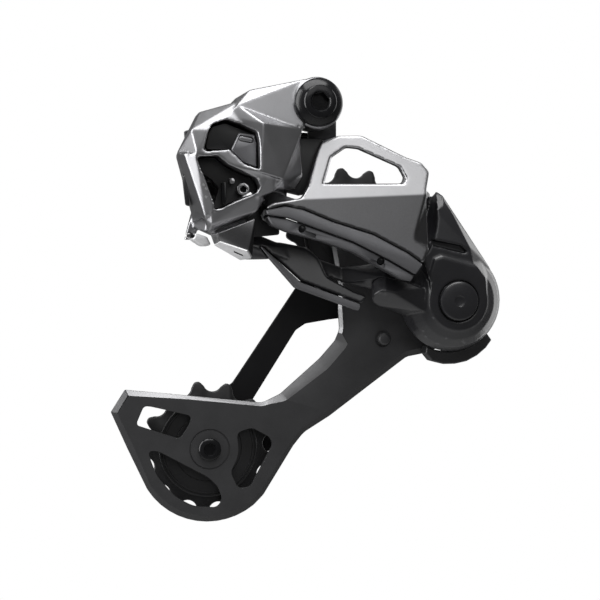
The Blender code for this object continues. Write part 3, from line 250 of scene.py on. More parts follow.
@dataclass(frozen=True)
class Finish:
    """One finish, with its colour, its gloss and its grain."""

    name: str
    slot: str
    colour: Colour
    roughness: float
    metallic: float
    grain: Grain = Grain.BLASTED
    grain_size: float = 0.28
    grain_depth: float = 0.012
    mottle: float = 0.10
    # A lighter finish for the bevelled edges: a painted highlight along them.
    edge: "Finish | None" = None
    # A lighter colour on convex edges: wear, and a painted highlight along the edges.
    wear_and_highlight: Colour | None = None
    # A darker colour painted below the outer link's ridge: painted shade on the link body.
    lower: Colour | None = None
    shine: float = 0.5

    def _height(self, graph: Graph, place: Value) -> Value:
        """The fine relief, 0 to 1.

        Args:
            graph: the material's graph.
            place: object coordinates in millimetres.

        Returns:
            The relief.
        """
        if self.grain is Grain.TURNED:
            parts = graph.node("ShaderNodeSeparateXYZ", None, {0: place})
            across, up = graph.out(parts, "X"), graph.out(parts, "Z")
            radius = (across * across + up * up) ** 0.5
            rings = graph.node("ShaderNodeTexNoise", {"noise_dimensions": "1D"},
                               {"W": radius / self.grain_size, "Scale": 1.0, "Detail": 2.0})
            return graph.out(rings, 0)
        stretch = (0.06, 1.0, 1.0) if self.grain is Grain.BRUSHED else (1.0, 1.0, 1.0)
        mapped = graph.node("ShaderNodeMapping", None, {"Vector": place, "Scale": stretch})
        if self.grain is Grain.MOULDED:
            cells = graph.node("ShaderNodeTexVoronoi", {"feature": "SMOOTH_F1"},
                               {"Vector": mapped.outputs[0], "Scale": 1.0 / self.grain_size})
            return graph.out(cells, "Distance")
        fine = graph.node("ShaderNodeTexNoise", None, {"Vector": mapped.outputs[0],
                                                      "Scale": 1.0 / self.grain_size,
                                                      "Detail": 3.0, "Roughness": 0.6})
        return graph.out(fine, 0)

    # This mask places the painted shade on the outer link below its ridge.
    def _painted_shade_below_ridge(self, graph: Graph, place: Value) -> Value:
        """How far a point lies below the outer link's ridge, 0 above it and 1 below.

        Args:
            graph: the material's graph.
            place: object coordinates in millimetres.

        Returns:
            The share.
        """
        parts = graph.node("ShaderNodeSeparateXYZ", None, {0: place})
        along, up = graph.out(parts, "X"), graph.out(parts, "Z")
        bend_x, bend_z = RIDGE_BEND
        forward, rearward = RIDGE_SLOPES
        slopes = {0: (along - bend_x) * forward, 1: (along - bend_x) * rearward}
        rise = graph.out(graph.node("ShaderNodeMath", {"operation": "MINIMUM"}, slopes))
        return graph.smooth_step(rise + bend_z - up, *RIDGE_SHADE_BLEND)

    def dress(self) -> bpy.types.Material:
        """Make the material, or give the one that is already made.

        Returns:
            The material.
        """
        found = bpy.data.materials.get(self.name)
        if found is not None:
            return found
        graph = Graph(self.name)
        coords = graph.node("ShaderNodeTexCoord")
        place = graph.out(graph.node("ShaderNodeVectorMath", {"operation": "SCALE"},
                                     {0: coords.outputs["Object"], "Scale": 1.0 / MM}))
        broad = graph.out(graph.node("ShaderNodeTexNoise", None,
                                     {"Vector": place, "Scale": PATCH_SCALE, "Detail": 4.0,
                                      "Roughness": 0.55}))
        fleck = graph.out(graph.node("ShaderNodeTexNoise", None,
                                     {"Vector": place, "Scale": FLECK_SCALE, "Detail": 2.0}))
        height = self._height(graph, place)
        low = tuple(channel * (1.0 - self.mottle) for channel in self.colour)
        high = tuple(min(1.0, channel * (1.0 + self.mottle)) for channel in self.colour)
        share = graph.out(graph.node("ShaderNodeMapRange", None,
                                     {"Value": broad * 0.7 + fleck * 0.3, "From Min": 0.35,
                                      "From Max": 0.65}))
        tint = graph.blend(share, low, high)
        # Below the outer link's ridge the colour is darkened: painted shade.
        if self.lower is not None:
            tint = graph.blend(self._painted_shade_below_ridge(graph, place), tint, self.lower)
        speck = tuple(min(1.0, channel * 1.25) for channel in self.colour)
        tint = graph.blend(height * 0.12, tint, speck)
        gloss = self.roughness + (broad - 0.5) * 0.10 + (height - 0.5) * 0.06
        if self.wear_and_highlight is not None:
            # Convex edges are lightened here: wear, and a painted highlight.
            bend = graph.out(graph.node("ShaderNodeNewGeometry"), "Pointiness")
            crest = graph.smooth_step(bend, WEAR_HIGHLIGHT_FROM, WEAR_HIGHLIGHT_FULL) * (fleck * 0.6 + 0.6)
            tint = graph.blend(crest, tint, self.wear_and_highlight)
            gloss = gloss - crest * 0.06
        graph.feed(graph.shader.inputs["Base Color"], tint)
        graph.feed(graph.shader.inputs["Roughness"], gloss)
        bump = graph.node("ShaderNodeBump", None, {"Strength": 0.6, "Height": height,
                                                  "Distance": self.grain_depth * MM})
        graph.feed(graph.shader.inputs["Normal"], bump.outputs[0])
        graph.shader.inputs["Metallic"].default_value = self.metallic
        graph.shader.inputs["Specular IOR Level"].default_value = self.shine
        return graph.material


@dataclass(frozen=True)
class Finishes:
    """Every finish on the derailleur."""

    # The wear_and_highlight colours lighten convex edges: wear, and painted highlights.
    casing: Finish = Finish("casing_satin_grey", "casing", (0.31, 0.31, 0.32), 0.36, 1.0,
                            mottle=0.07, wear_and_highlight=(0.72, 0.72, 0.73))
    # The link's lower colour is painted shade below its ridge, not a second paint.
    link: Finish = Finish("link_bright_satin", "link", (0.46, 0.46, 0.47), 0.34, 1.0, mottle=0.06,
                          wear_and_highlight=(0.74, 0.74, 0.75), lower=(0.060, 0.060, 0.062))
    # Each edge finish is lighter than its own piece: a painted highlight on the bevelled edges.
    guard_edge: Finish = Finish("guard_highlit_edge", "guard", (0.20, 0.20, 0.21), 0.36, 0.5)
    guard: Finish = Finish("guard_grey", "guard", (0.085, 0.085, 0.09), 0.46, 0.5, Grain.MOULDED,
                           grain_depth=0.006, edge=guard_edge)
    dark_edge: Finish = Finish("dark_satin_edge", "dark", (0.085, 0.085, 0.09), 0.26, 0.9)
    dark: Finish = Finish("dark_satin", "dark", (0.015, 0.015, 0.017), 0.30, 0.0, edge=dark_edge,
                          wear_and_highlight=(0.060, 0.060, 0.063))
    cover: Finish = Finish("lower_cover_dark", "casing", (0.075, 0.075, 0.078), 0.36, 1.0,
                           wear_and_highlight=(0.60, 0.60, 0.61))
    foot: Finish = Finish("lower_cover_foot", "casing", (0.78, 0.78, 0.79), 0.5, 0.3)
    plate_edge: Finish = Finish("plate_bright_edge", "plate", (0.25, 0.25, 0.255), 0.36, 0.9)
    plate: Finish = Finish("plate_matte_grey", "plate", (0.052, 0.052, 0.054), 0.5, 0.4,
                           edge=plate_edge)
    inner_edge: Finish = Finish("inner_plate_edge", "inner_plate", (0.05, 0.05, 0.052), 0.35, 0.8)
    inner_plate: Finish = Finish("inner_plate_black", "inner_plate", (0.016, 0.016, 0.017), 0.5,
                                 0.7, edge=inner_edge)
    wheel_edge: Finish = Finish("wheel_tooth_edge", "wheel", (0.05, 0.05, 0.052), 0.34, 0.1)
    wheel: Finish = Finish("wheel_black", "wheel", (0.018, 0.018, 0.019), 0.44, 0.1, Grain.MOULDED,
                           grain_depth=0.006, edge=wheel_edge)
    steel: Finish = Finish("ground_steel", "steel", (0.42, 0.42, 0.43), 0.28, 1.0, Grain.BRUSHED)
    bolt: Finish = Finish("bolt_gloss_black", "bolt", (0.008, 0.008, 0.009), 0.20, 0.0,
                          Grain.TURNED, grain_size=0.5, grain_depth=0.003, shine=0.28)
    resin_edge: Finish = Finish("moulded_black_edge", "resin", (0.035, 0.035, 0.037), 0.38, 0.0)
    resin: Finish = Finish("moulded_black", "resin", (0.014, 0.014, 0.015), 0.46, 0.0,
                           Grain.MOULDED, grain_depth=0.008, edge=resin_edge)
    panel_edge: Finish = Finish("panel_edge", "panel", (0.34, 0.34, 0.35), 0.3, 0.7)
    panel: Finish = Finish("panel_satin_grey", "panel", (0.20, 0.20, 0.21), 0.38, 0.6,
                           edge=panel_edge)
    seal: Finish = Finish("seal_rubber", "seal", (0.010, 0.010, 0.010), 0.62, 0.0, Grain.MOULDED)


FINISH = Finishes()


# ------------------------------------------------------------------ shaping
def rounded(corners: Sequence[Corner], steps: int = 6) -> list[Point]:
    """An outline whose corners are arcs.

    Args:
        corners: (x, z, radius) of each corner, in order.
        steps: how many parts each arc has.

    Returns:
        The outline's points.
    """
    outline: list[Point] = []
    count = len(corners)
    for index, (x, z, radius) in enumerate(corners):
        here = Vector((x, z))
        if radius <= 0:
            outline.append((x, z))
            continue
        back = Vector(corners[index - 1][:2]) - here
        ahead = Vector(corners[(index + 1) % count][:2]) - here
        half = back.angle(ahead) / 2
        reach = min(radius / math.tan(half), back.length * 0.49, ahead.length * 0.49)
        radius = reach * math.tan(half)
        to_back, to_ahead = back.normalized(), ahead.normalized()
        centre = here + (to_back + to_ahead).normalized() * (radius / math.sin(half))
        first = here + to_back * reach - centre
        last = here + to_ahead * reach - centre
        sweep = math.atan2(first.x * last.y - first.y * last.x, first.dot(last))
        for step in range(steps + 1):
            point = centre + Matrix.Rotation(sweep * step / steps, 2) @ first
            outline.append((point.x, point.y))
    return outline


def mesh_of(name: str, shape: Shape) -> bpy.types.Mesh:
    """Turn a shape into a mesh, and free the shape."""
    mesh = bpy.data.meshes.new(name)
    shape.to_mesh(mesh)
    shape.free()
    return mesh


def add(name: str, data: bpy.types.ID) -> bpy.types.Object:
    """Add an object to the scene."""
    made = bpy.data.objects.new(name, data)
    bpy.context.scene.collection.objects.link(made)
    return made


def result_of(worked: bpy.types.Object) -> Shape:
    """The shape that an object's modifiers give."""
    evaluated = worked.evaluated_get(bpy.context.evaluated_depsgraph_get())
    result = bmesh.new()
    result.from_mesh(evaluated.to_mesh())
    evaluated.to_mesh_clear()
    return result


def discard(used: bpy.types.Object) -> None:
    """Remove a working object and its mesh."""
    mesh = used.data
    bpy.data.objects.remove(used)
    bpy.data.meshes.remove(mesh)


def level_with(axis: Vector, y: float = 0.0) -> Vector:
    """The point at a given y on an axis that runs along Y."""
    return Vector((axis.x, y, axis.z))


def from_axis(axis: Vector, offsets: Iterable[Corner]) -> list[Corner]:
    """Corners given as offsets from an axis."""
    return [(axis.x + x, axis.z + z, radius) for x, z, radius in offsets]


def sheet(outline: Sequence[Point], y: float) -> Shape:
    """One flat face facing outboard.

    Args:
        outline: its (x, z) points.
        y: where it lies.

    Returns:
        The shape.
    """
    shape = bmesh.new()
    shape.faces.new([shape.verts.new((x, y, z)) for x, z in outline]).normal_update()
    return shape


def slab(outline: Sequence[Point], front: float, back: float, rim: float = 0.0) -> Shape:
    """An outline made solid along Y.

    Args:
        outline: its (x, z) points.
        front: its outboard face.
        back: its inboard face.
        rim: the width of a bevel round its outboard edge.

    Returns:
        The shape.
    """
    shape = sheet(outline, front)
    grown = bmesh.ops.extrude_face_region(shape, geom=shape.faces[:])
    moved = [item for item in grown["geom"] if isinstance(item, bmesh.types.BMVert)]
    bmesh.ops.translate(shape, vec=(0.0, back - front, 0.0), verts=moved)
    if rim > 0:
        outboard = [edge for edge in shape.edges
                    if all(abs(vert.co.y - front) < SAME_LEVEL for vert in edge.verts)]
        round_edges(shape, outboard, rim)
    return shape


def round_edges(shape: Shape, edges: list[bmesh.types.BMEdge], width: float) -> None:
    """Bevel some edges of a shape."""
    bmesh.ops.bevel(shape, geom=edges, offset=width, segments=2, profile=0.5, affect="EDGES",
                    material=-1, clamp_overlap=True)


def lathe(profile: Sequence[Point], centre: Vector, axis: Vector = INBOARD, steps: int = 64,
          closed: bool = False) -> Shape:
    """A profile turned about an axis.

    Args:
        profile: (distance along the axis, radius) points.
        centre: a point on the axis.
        axis: the axis.
        steps: how many parts a turn has.
        closed: True for a ring, whose last point joins its first.

    Returns:
        The shape.
    """
    shape = bmesh.new()
    along = axis.normalized()
    across = along.orthogonal().normalized()
    path = [shape.verts.new(centre + along * step + across * radius) for step, radius in profile]
    edges = [shape.edges.new(pair) for pair in zip(path, path[1:])]
    if closed:
        edges.append(shape.edges.new((path[-1], path[0])))
    bmesh.ops.spin(shape, geom=path + edges, cent=centre, axis=along, angle=math.tau, steps=steps,
                   use_merge=True)
    bmesh.ops.remove_doubles(shape, verts=shape.verts, dist=1e-4)
    bmesh.ops.recalc_face_normals(shape, faces=shape.faces)
    return shape


def rod(centre: Vector, start: float, end: float, radius: float, axis: Vector = INBOARD,
        steps: int = 32) -> Shape:
    """A plain round cutter.

    Args:
        centre: a point on its axis.
        start: where it starts along the axis, from the centre.
        end: where it ends.
        radius: its radius.
        axis: its axis.
        steps: how many parts a turn has.

    Returns:
        The shape.
    """
    return lathe([(start, 0.0), (start, radius), (end, radius), (end, 0.0)], centre, axis, steps)


def groove(centre: Vector, inner: float, outer: float, depth: float, steps: int = 64) -> Shape:
    """A ring that cuts a shallow groove round a hole that runs along Y."""
    profile = [(-1.0, inner), (-1.0, outer), (depth, outer), (depth, inner)]
    return lathe(profile, centre, steps=steps, closed=True)


def star(centre: Vector, front: float, back: float, radius: float, depth: float,
         lobes: int = 6) -> Shape:
    """A lobed socket's shape along Y.

    Args:
        centre: a point on its axis.
        front: where it starts along Y.
        back: where it ends.
        radius: its corners' radius.
        depth: how far its valleys lie inside its corners.
        lobes: how many corners it has.

    Returns:
        The shape.
    """
    count = lobes * 4
    outline = []
    for index in range(count):
        angle = math.tau * index / count
        reach = radius - depth * (0.5 - 0.5 * math.cos(angle * lobes))
        outline.append((centre.x + reach * math.cos(angle), centre.z + reach * math.sin(angle)))
    return slab(outline, front, back)


def carve(shape: Shape, cutters: Iterable[Shape], operation: str = "DIFFERENCE",
          solver: str = "EXACT") -> Shape:
    """Cut shapes out of a shape, or grow it by them.

    Args:
        shape: what is cut.
        cutters: the shapes that cut it.
        operation: DIFFERENCE or UNION.
        solver: the Boolean solver.

    Returns:
        The new shape.
    """
    shapes = [shape, *cutters]
    for each in shapes:
        bmesh.ops.recalc_face_normals(each, faces=each.faces)
    target, *tools = [add("carving", mesh_of("carving", each)) for each in shapes]
    for tool in tools:
        change = target.modifiers.new("carve", "BOOLEAN")
        change.operation = operation
        change.solver = solver
        change.object = tool
    result = result_of(target)
    for used in (target, *tools):
        discard(used)
    tidy(result)
    return result


def tidy(shape: Shape, gap: float = 0.002) -> None:
    """Merge what lies together and clear edges that turn no corner."""
    bmesh.ops.remove_doubles(shape, verts=shape.verts, dist=gap)
    bmesh.ops.dissolve_degenerate(shape, edges=shape.edges, dist=gap)
    bmesh.ops.dissolve_limit(shape, angle_limit=math.radians(FLAT_TURN), verts=shape.verts,
                             edges=shape.edges)


def convex(points: Iterable[Sequence[float]]) -> Shape:
    """The convex solid round some points."""
    shape = bmesh.new()
    for point in points:
        shape.verts.new(point)
    made = bmesh.ops.convex_hull(shape, input=shape.verts)
    spare = [item for item in made["geom_interior"] if isinstance(item, bmesh.types.BMVert)]
    bmesh.ops.delete(shape, geom=spare, context="VERTS")
    bmesh.ops.recalc_face_normals(shape, faces=shape.faces)
    return shape


def circle(centre: Vector, radius: float, axis: Vector = INBOARD, count: int = 16) -> list[Vector]:
    """Points round an axis, for a convex solid."""
    out = axis.orthogonal().normalized() * radius
    return [centre + Matrix.Rotation(math.tau * part / count, 3, axis) @ out
            for part in range(count)]


def forge(shape: Shape, grain: float = FORGE_GRAIN) -> Shape:
    """Give a rough solid the even skin and softened edges of a forging.

    Args:
        shape: the rough solid.
        grain: the size of the skin's facets.

    Returns:
        The new shape.
    """
    blank = add("forging", mesh_of("forging", shape))
    even = blank.modifiers.new("even", "REMESH")
    even.mode = "VOXEL"
    even.voxel_size = grain
    soft = blank.modifiers.new("soft", "SMOOTH")
    soft.factor = 0.5
    soft.iterations = FORGE_ROUNDS
    result = result_of(blank)
    discard(blank)
    return result


def copy_of(node: str) -> Shape:
    """A merged copy of a CAD node, in millimetres."""
    shape = bmesh.new()
    shape.from_mesh(frame["nodes"][node].data)
    bmesh.ops.scale(shape, vec=(1 / MM, 1 / MM, 1 / MM), verts=shape.verts)
    tidy(shape, 0.004)
    return shape


def forged(node: str, finish: Finish, name: str, grain: float = FORGE_GRAIN) -> bpy.types.Object:
    """A CAD node's shape with the skin of a forging, in its place."""
    body = frame["nodes"][node]["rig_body"]
    return place(name, forge(copy_of(node), grain), body, finish, (node,), smooth=FORGE_SMOOTH)


def place(name: str, shape: Shape, body: str, finish: Finish, stands_for: Sequence[str] = (),
          edge: float = 0.0, edge_from: float = 30.0, smooth: float = 35.0) -> bpy.types.Object:
    """Turn a shape into a finished piece that rides on a body.

    Args:
        name: the piece's name.
        shape: its shape, in millimetres.
        body: the CAD body it rides on.
        finish: its finish.
        stands_for: the CAD nodes it replaces.
        edge: the width of the softened edges.
        edge_from: the least turn, in degrees, of an edge that is softened.
        smooth: the greatest turn, in degrees, that is shaded smooth.

    Returns:
        The object.
    """
    bmesh.ops.recalc_face_normals(shape, faces=shape.faces)
    bmesh.ops.scale(shape, vec=(MM, MM, MM), verts=shape.verts)
    mesh = mesh_of(name, shape)
    mesh.shade_smooth()
    mesh.materials.append(finish.dress())
    if finish.edge is not None:
        mesh.materials.append(finish.edge.dress())
    made = add(name, mesh)
    if edge > 0:
        soften = made.modifiers.new("soft_edges", "BEVEL")
        soften.width = edge * MM
        soften.segments = 2
        soften.limit_method = "ANGLE"
        soften.angle_limit = math.radians(edge_from)
        soften.harden_normals = True
        soften.use_clamp_overlap = True
        soften.miter_outer = "MITER_ARC"
        # The bevel's faces take the lighter edge finish: a painted highlight.
        if finish.edge is not None:
            soften.material = 1
    else:
        mesh.set_sharp_from_angle(angle=math.radians(smooth))
    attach(made, body)
    if stands_for:
        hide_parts(*stands_for)
    log.info("%-24s %-14s %6d faces", name, body, len(mesh.polygons))
    return made


def skin(node: str, finish: Finish, edge: float = 0.2, edge_from: float = 30.0,
         name: str | None = None) -> bpy.types.Object:
    """A softened copy of a CAD node, in its place.

    Args:
        node: the CAD node.
        finish: the piece's finish.
        edge: the width of the softened edges.
        edge_from: the least turn, in degrees, of an edge that is softened.
        name: the piece's name, or None for the node's with an ending.

    Returns:
        The piece.
    """
    body = frame["nodes"][node]["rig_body"]
    return place(name or node + "_skin", copy_of(node), body, finish, (node,), edge, edge_from)


# ------------------------------------------------------------------ sub-assemblies
@dataclass
class ChainWheel:
    """A toothed wheel with its bearing and its two side covers."""

    label: str
    axis: Vector
    teeth: int = 13
    pitch: float = 12.7
    roller: float = 3.95
    tip_radius: float = 26.9
    tooth_turn: float = 2.3
    width: float = 2.4
    bore: float = 9.2
    cover_radius: float = 19.9
    cover_thickness: float = 0.9
    cover_gap: float = 0.3
    rim_bevel: float = 0.5
    tooth_top: tuple[Point, ...] = ((-0.060, 26.2), (-0.036, 26.8), (0.0, 26.95), (0.036, 26.8),
                                    (0.060, 26.2))

    def outline(self) -> list[Point]:
        """The toothed outline: a round seat for each roller, then a tapered tooth.

        Returns:
            The outline's points.
        """
        step = math.tau / self.teeth
        pitch_radius = self.pitch / (2 * math.sin(math.pi / self.teeth))
        points: list[Point] = []
        for index in range(self.teeth):
            turn = index * step + math.radians(self.tooth_turn)
            out = Vector((math.cos(turn), math.sin(turn)))
            side = Vector((-out.y, out.x))
            middle = out * pitch_radius
            for part in range(-4, 5):
                angle = math.radians(15.5 * part)
                points.append(tuple(middle - out * self.roller * math.cos(angle)
                                    + side * self.roller * math.sin(angle)))
            tip = turn + step / 2
            highest = self.tooth_top[2][1]
            for share, reach in self.tooth_top:
                radius = reach * self.tip_radius / highest
                points.append((radius * math.cos(tip + share), radius * math.sin(tip + share)))
        return [(self.axis.x + x, self.axis.z + z) for x, z in points]

    def build(self) -> None:
        """Build the wheel, its covers and its bearing."""
        body = self.label + "_wheel"
        y = self.axis.y
        half = self.width / 2
        disc = slab(self.outline(), y - half, y + half)
        rims = [edge for edge in disc.edges
                if abs(edge.verts[0].co.y - edge.verts[1].co.y) < SAME_LEVEL]
        round_edges(disc, rims, self.rim_bevel)
        disc = carve(disc, [rod(self.axis, -4.0, 4.0, self.bore, steps=64)])
        place(self.label + "_toothed_disc", disc, body, FINISH.wheel, (self.label + "_wheel",),
              0.12, 28.0)
        inner = self.bore
        rim = self.cover_radius
        for side, way in (("outer", -1.0), ("inner", 1.0)):
            low = half + self.cover_gap
            top = low + self.cover_thickness
            profile = [(low, inner), (top - 0.15, inner), (top, inner + 0.2), (top, inner + 1.1),
                       (top - 0.35, inner + 1.4), (top - 0.35, inner + 4.2),
                       (top - 0.5, inner + 4.35), (top - 0.35, inner + 4.5),
                       (top - 0.35, rim - 2.0), (top - 0.1, rim - 1.75), (top - 0.1, rim - 1.25),
                       (top - 0.4, rim - 1.1), (top - 0.4, rim - 0.8), (top, rim - 0.6),
                       (top, rim - 0.15), (top - 0.15, rim), (low, rim)]
            cover = lathe([(way * step, radius) for step, radius in profile], self.axis, steps=96,
                          closed=True)
            place(f"{self.label}_cover_{side}", cover, body, FINISH.wheel,
                  (f"{self.label}_shield_{side}",), smooth=24.0)
        race = [(2.6, 4.3), (2.6, 5.3), (2.25, 5.4), (2.15, 5.6), (2.15, 7.3), (2.25, 7.5),
                (2.6, 7.6), (2.6, 8.7), (2.4, 8.9)]
        profile = race + [(-step, radius) for step, radius in reversed(race)]
        place(self.label + "_ball_race", lathe(profile, self.axis, closed=True), body, FINISH.steel,
              (self.label + "_bearing",), smooth=24.0)


@dataclass
class Cage:
    """The two plates that carry the chain wheels, with the axle, the stop pin and the bolts."""

    outer_face: float = 6.0
    outer_back: float = 8.2
    inner_face: float = 17.2
    inner_back: float = 19.2
    bolt_head: float = 4.5
    bolt_radius: float = 2.5
    stop_pin: tuple[float, float] = (-25.7, -16.0)
    stop_pin_radius: float = 2.3
    foot_radius: float = 29.4
    chamfer: float = 1.3
    chamfer_drop: float = 1.1
    chamfer_growth: float = 0.9
    arm_growth: float = 2.9
    arm_from: float = -16.0
    arm_to: float = 14.0
    arm_blend: float = 12.0
    arm_lowest: float = -121.0
    end_facet_to: float = -70.0
    bolt_clearance: float = 0.3

    @property
    def stop_place(self) -> Vector:
        """The stop pin's axis."""
        return level_with(HUB + Vector((self.stop_pin[0], 0.0, self.stop_pin[1])))

    def outer_outline(self) -> list[Point]:
        """The outer plate's outline."""
        return rounded(
            from_axis(TENSION, [(-39.2, 15.6, 0.8), (-33.6, 24.4, 0.8), (-8.6, 21.6, 8),
                                (21.8, 18.1, 6), (29.1, 21.6, 6)])
            + from_axis(HUB, [(-51.9, -23.9, 20), (-45.5, -16.7, 5), (-43.6, -12.2, 5),
                              (-44.2, -3.7, 12)])
            + from_axis(GUIDE, [(-6.0, -22.0, 8), (-9.5, -2.0, 6), (-4.0, 9.0, 8), (8.0, 8.0, 8)])
            + from_axis(HUB, [(-12.0, 16.0, 10), (4.0, 17.0, 10), (16.0, 8.0, 10),
                              (17.0, -8.0, 10), (5.0, -18.0, 10), (-9.2, -22.5, 8),
                              (-15.4, -23.6, 6), (-47.8, -47.3, 10)])
            + from_axis(TENSION, [(38.6, 5.7, 12), (34.3, 0.4, 12), (22.0, -19.2, 6)])
            + [(TENSION.x + self.foot_radius * math.cos(math.radians(angle)),
                TENSION.z + self.foot_radius * math.sin(math.radians(angle)), 12)
               for angle in range(-52, -150, -8)]
            + from_axis(TENSION, [(-32.7, 0.9, 30)]))

    def windows(self) -> list[list[Point]]:
        """The outlines of the outer plate's three windows."""
        return [rounded(from_axis(TENSION, corners)) for corners in (
            [(-29.0, 11.4, 3), (-26.2, 17.9, 3), (-23.4, 17.6, 12), (-6.9, 13.6, 2.6),
             (-8.2, 9.6, 9), (-11.8, 4.2, 2.4), (-28.6, 10.0, 2.2)],
            [(-25.0, 0.2, 2.6), (-20.6, -0.2, 8), (-0.6, -11.2, 12), (3.4, -15.2, 8),
             (5.4, -20.5, 3), (3.2, -23.8, 3), (-5.7, -23.3, 14), (-13.5, -19.2, 14),
             (-21.1, -10.4, 14)],
            [(11.0, 6.4, 2.4), (17.0, 8.4, 4), (24.6, 4.3, 4), (25.8, 1.1, 3), (16.7, -15.8, 3),
             (11.6, -16.5, 3), (8.4, -9.5, 4), (12.0, -2.3, 14)])]

    def build(self) -> None:
        """Build every piece of the cage."""
        self.build_outer_plate()
        self.build_inner_plate()
        self.build_hardware()

    def widen(self, land: bmesh.types.BMFace, rim: list[Vector]) -> None:
        """Draw the flat face in, so that its chamfer widens at the arm, the end and the foot.

        Args:
            land: the flat face inside the chamfer.
            rim: the places of the plate's own edge.
        """
        for vert in land.verts:
            here = vert.co
            out = min((point - here for point in rim), key=lambda way: way.length)
            on_arm = self.arm_from < here.x < self.arm_to and here.z > self.arm_lowest
            if on_arm and out.z > 0.0 and out.x < 0.3:
                reach = self.arm_growth * min(1.0, (here.x - self.arm_from) / self.arm_blend)
            elif here.x < self.end_facet_to and out.x < 0.0:
                reach = self.chamfer_growth
            else:
                reach = self.chamfer_growth * max(0.0, -out.normalized().z)
            vert.co -= out * reach

    def build_outer_plate(self) -> None:
        """The outboard plate, with its chamfer, its windows and its bores."""
        face, edge_level = self.outer_face, self.outer_face + self.chamfer_drop
        shape = sheet(self.outer_outline(), face)
        bmesh.ops.inset_individual(shape, faces=shape.faces[:], thickness=self.chamfer, depth=0.0,
                                   use_even_offset=True)
        land = max(shape.faces, key=lambda item: item.calc_area())
        kept = set(land.verts)
        rim = [vert for vert in shape.verts if vert not in kept]
        self.widen(land, [vert.co.copy() for vert in rim])
        for vert in rim:
            vert.co.y = edge_level
        grown = bmesh.ops.extrude_face_region(shape, geom=shape.faces[:])
        for item in grown["geom"]:
            if isinstance(item, bmesh.types.BMVert):
                item.co.y = self.outer_back
        bmesh.ops.recalc_face_normals(shape, faces=shape.faces)
        through = 12.0
        cutters = [slab(outline, 0.0, through) for outline in self.windows()]
        hole = self.bolt_radius + self.bolt_clearance
        for axis, radius in ((HUB, 4.1), (TENSION, hole), (GUIDE, hole), (self.stop_place, 1.8)):
            cutters.append(rod(level_with(axis), 0.0, through, radius))
        cutters.append(groove(level_with(TENSION, face), 7.6, 8.2, 0.35))
        cutters.append(groove(level_with(self.stop_place, face), 2.6, 3.4, 0.5, steps=32))
        shape = carve(shape, cutters, "DIFFERENCE", "MANIFOLD")
        # The slanted chamfer faces take the lighter edge finish: a painted highlight.
        for side in shape.faces:
            slanted = -0.992 < side.normal.y < -0.3 and side.normal.z > -0.15
            if slanted and face < side.calc_center_median().y < edge_level:
                side.material_index = 1
        place("cage_outer_shell", shape, "cage", FINISH.plate, ("cage_outer_plate",), 0.16, 18.0)

    def build_inner_plate(self) -> None:
        """The inboard plate, with the long window the chain is seen through."""
        outline = rounded(
            from_axis(GUIDE, [(-8.5, -3.0, 5), (-6.0, 7.0, 6), (6.0, 8.0, 6)])
            + from_axis(HUB, [(-6.0, 13.0, 8), (10.0, 10.0, 10), (12.0, -8.0, 10),
                              (-6.0, -17.0, 8)])
            + from_axis(TENSION, [(34.0, 2.0, 10), (14.0, -10.0, 8), (2.0, -14.0, 8),
                                  (-12.0, -8.0, 8), (-13.0, 8.0, 8), (11.1, 25.5, 3)]))
        window = rounded(from_axis(TENSION, [(18.6, 17.4, 2), (37.3, 46.8, 3)])
                         + from_axis(HUB, [(-55.9, -10.1, 3), (-46.0, -8.5, 3), (-24.0, -6.0, 6),
                                           (-26.0, -20.0, 6)])
                         + from_axis(TENSION, [(28.0, 8.0, 6)]))
        cutters = [slab(window, self.inner_face - 4, self.inner_back + 4)]
        hole = self.bolt_radius + self.bolt_clearance
        for axis in (TENSION, GUIDE):
            cutters.append(rod(level_with(axis, self.inner_face), -3.0, 6.0, hole))
        plate = carve(slab(outline, self.inner_face, self.inner_back), cutters)
        place("cage_inner_shell", plate, "cage", FINISH.inner_plate, ("cage_inner_plate",),
              0.35, 25.0)

    def build_hardware(self) -> None:
        """The wheel bolts, their sleeves, the stop pin and the axle."""
        head = self.outer_face - 0.3
        wide, thin, end = self.bolt_head, self.bolt_radius, self.inner_back - 0.2
        for label, axis in (("tension", TENSION), ("guide", GUIDE)):
            profile = [(head - 0.9, 0.0), (head - 0.9, 2.3), (head - 1.6, 2.6),
                       (head - 1.6, wide - 0.7), (head - 1.45, wide - 0.35), (head - 1.0, wide),
                       (head, wide), (head, thin), (end - 0.3, thin), (end, thin - 0.3), (end, 0.0)]
            socket = star(axis, head - 3.0, head - 0.35, 2.0, 0.5)
            bolt = carve(lathe(profile, level_with(axis)), [socket])
            place(label + "_wheel_bolt", bolt, "cage", FINISH.bolt, (label + "_bolt",), smooth=30.0)
            skin(label + "_sleeve", FINISH.steel, 0.15)
        top = self.outer_face - 3.6
        wide = self.stop_pin_radius
        profile = [(top, 0.0), (top, wide - 0.7), (top + 0.12, wide - 0.35), (top + 0.5, wide),
                   (head, wide), (head, 1.5), (self.outer_back, 1.5), (self.outer_back, 0.0)]
        place("cage_stop_pin", lathe(profile, self.stop_place, steps=40), "cage", FINISH.plate,
              ("stop_pin",), smooth=30.0)
        skin("cage_axle", FINISH.steel)


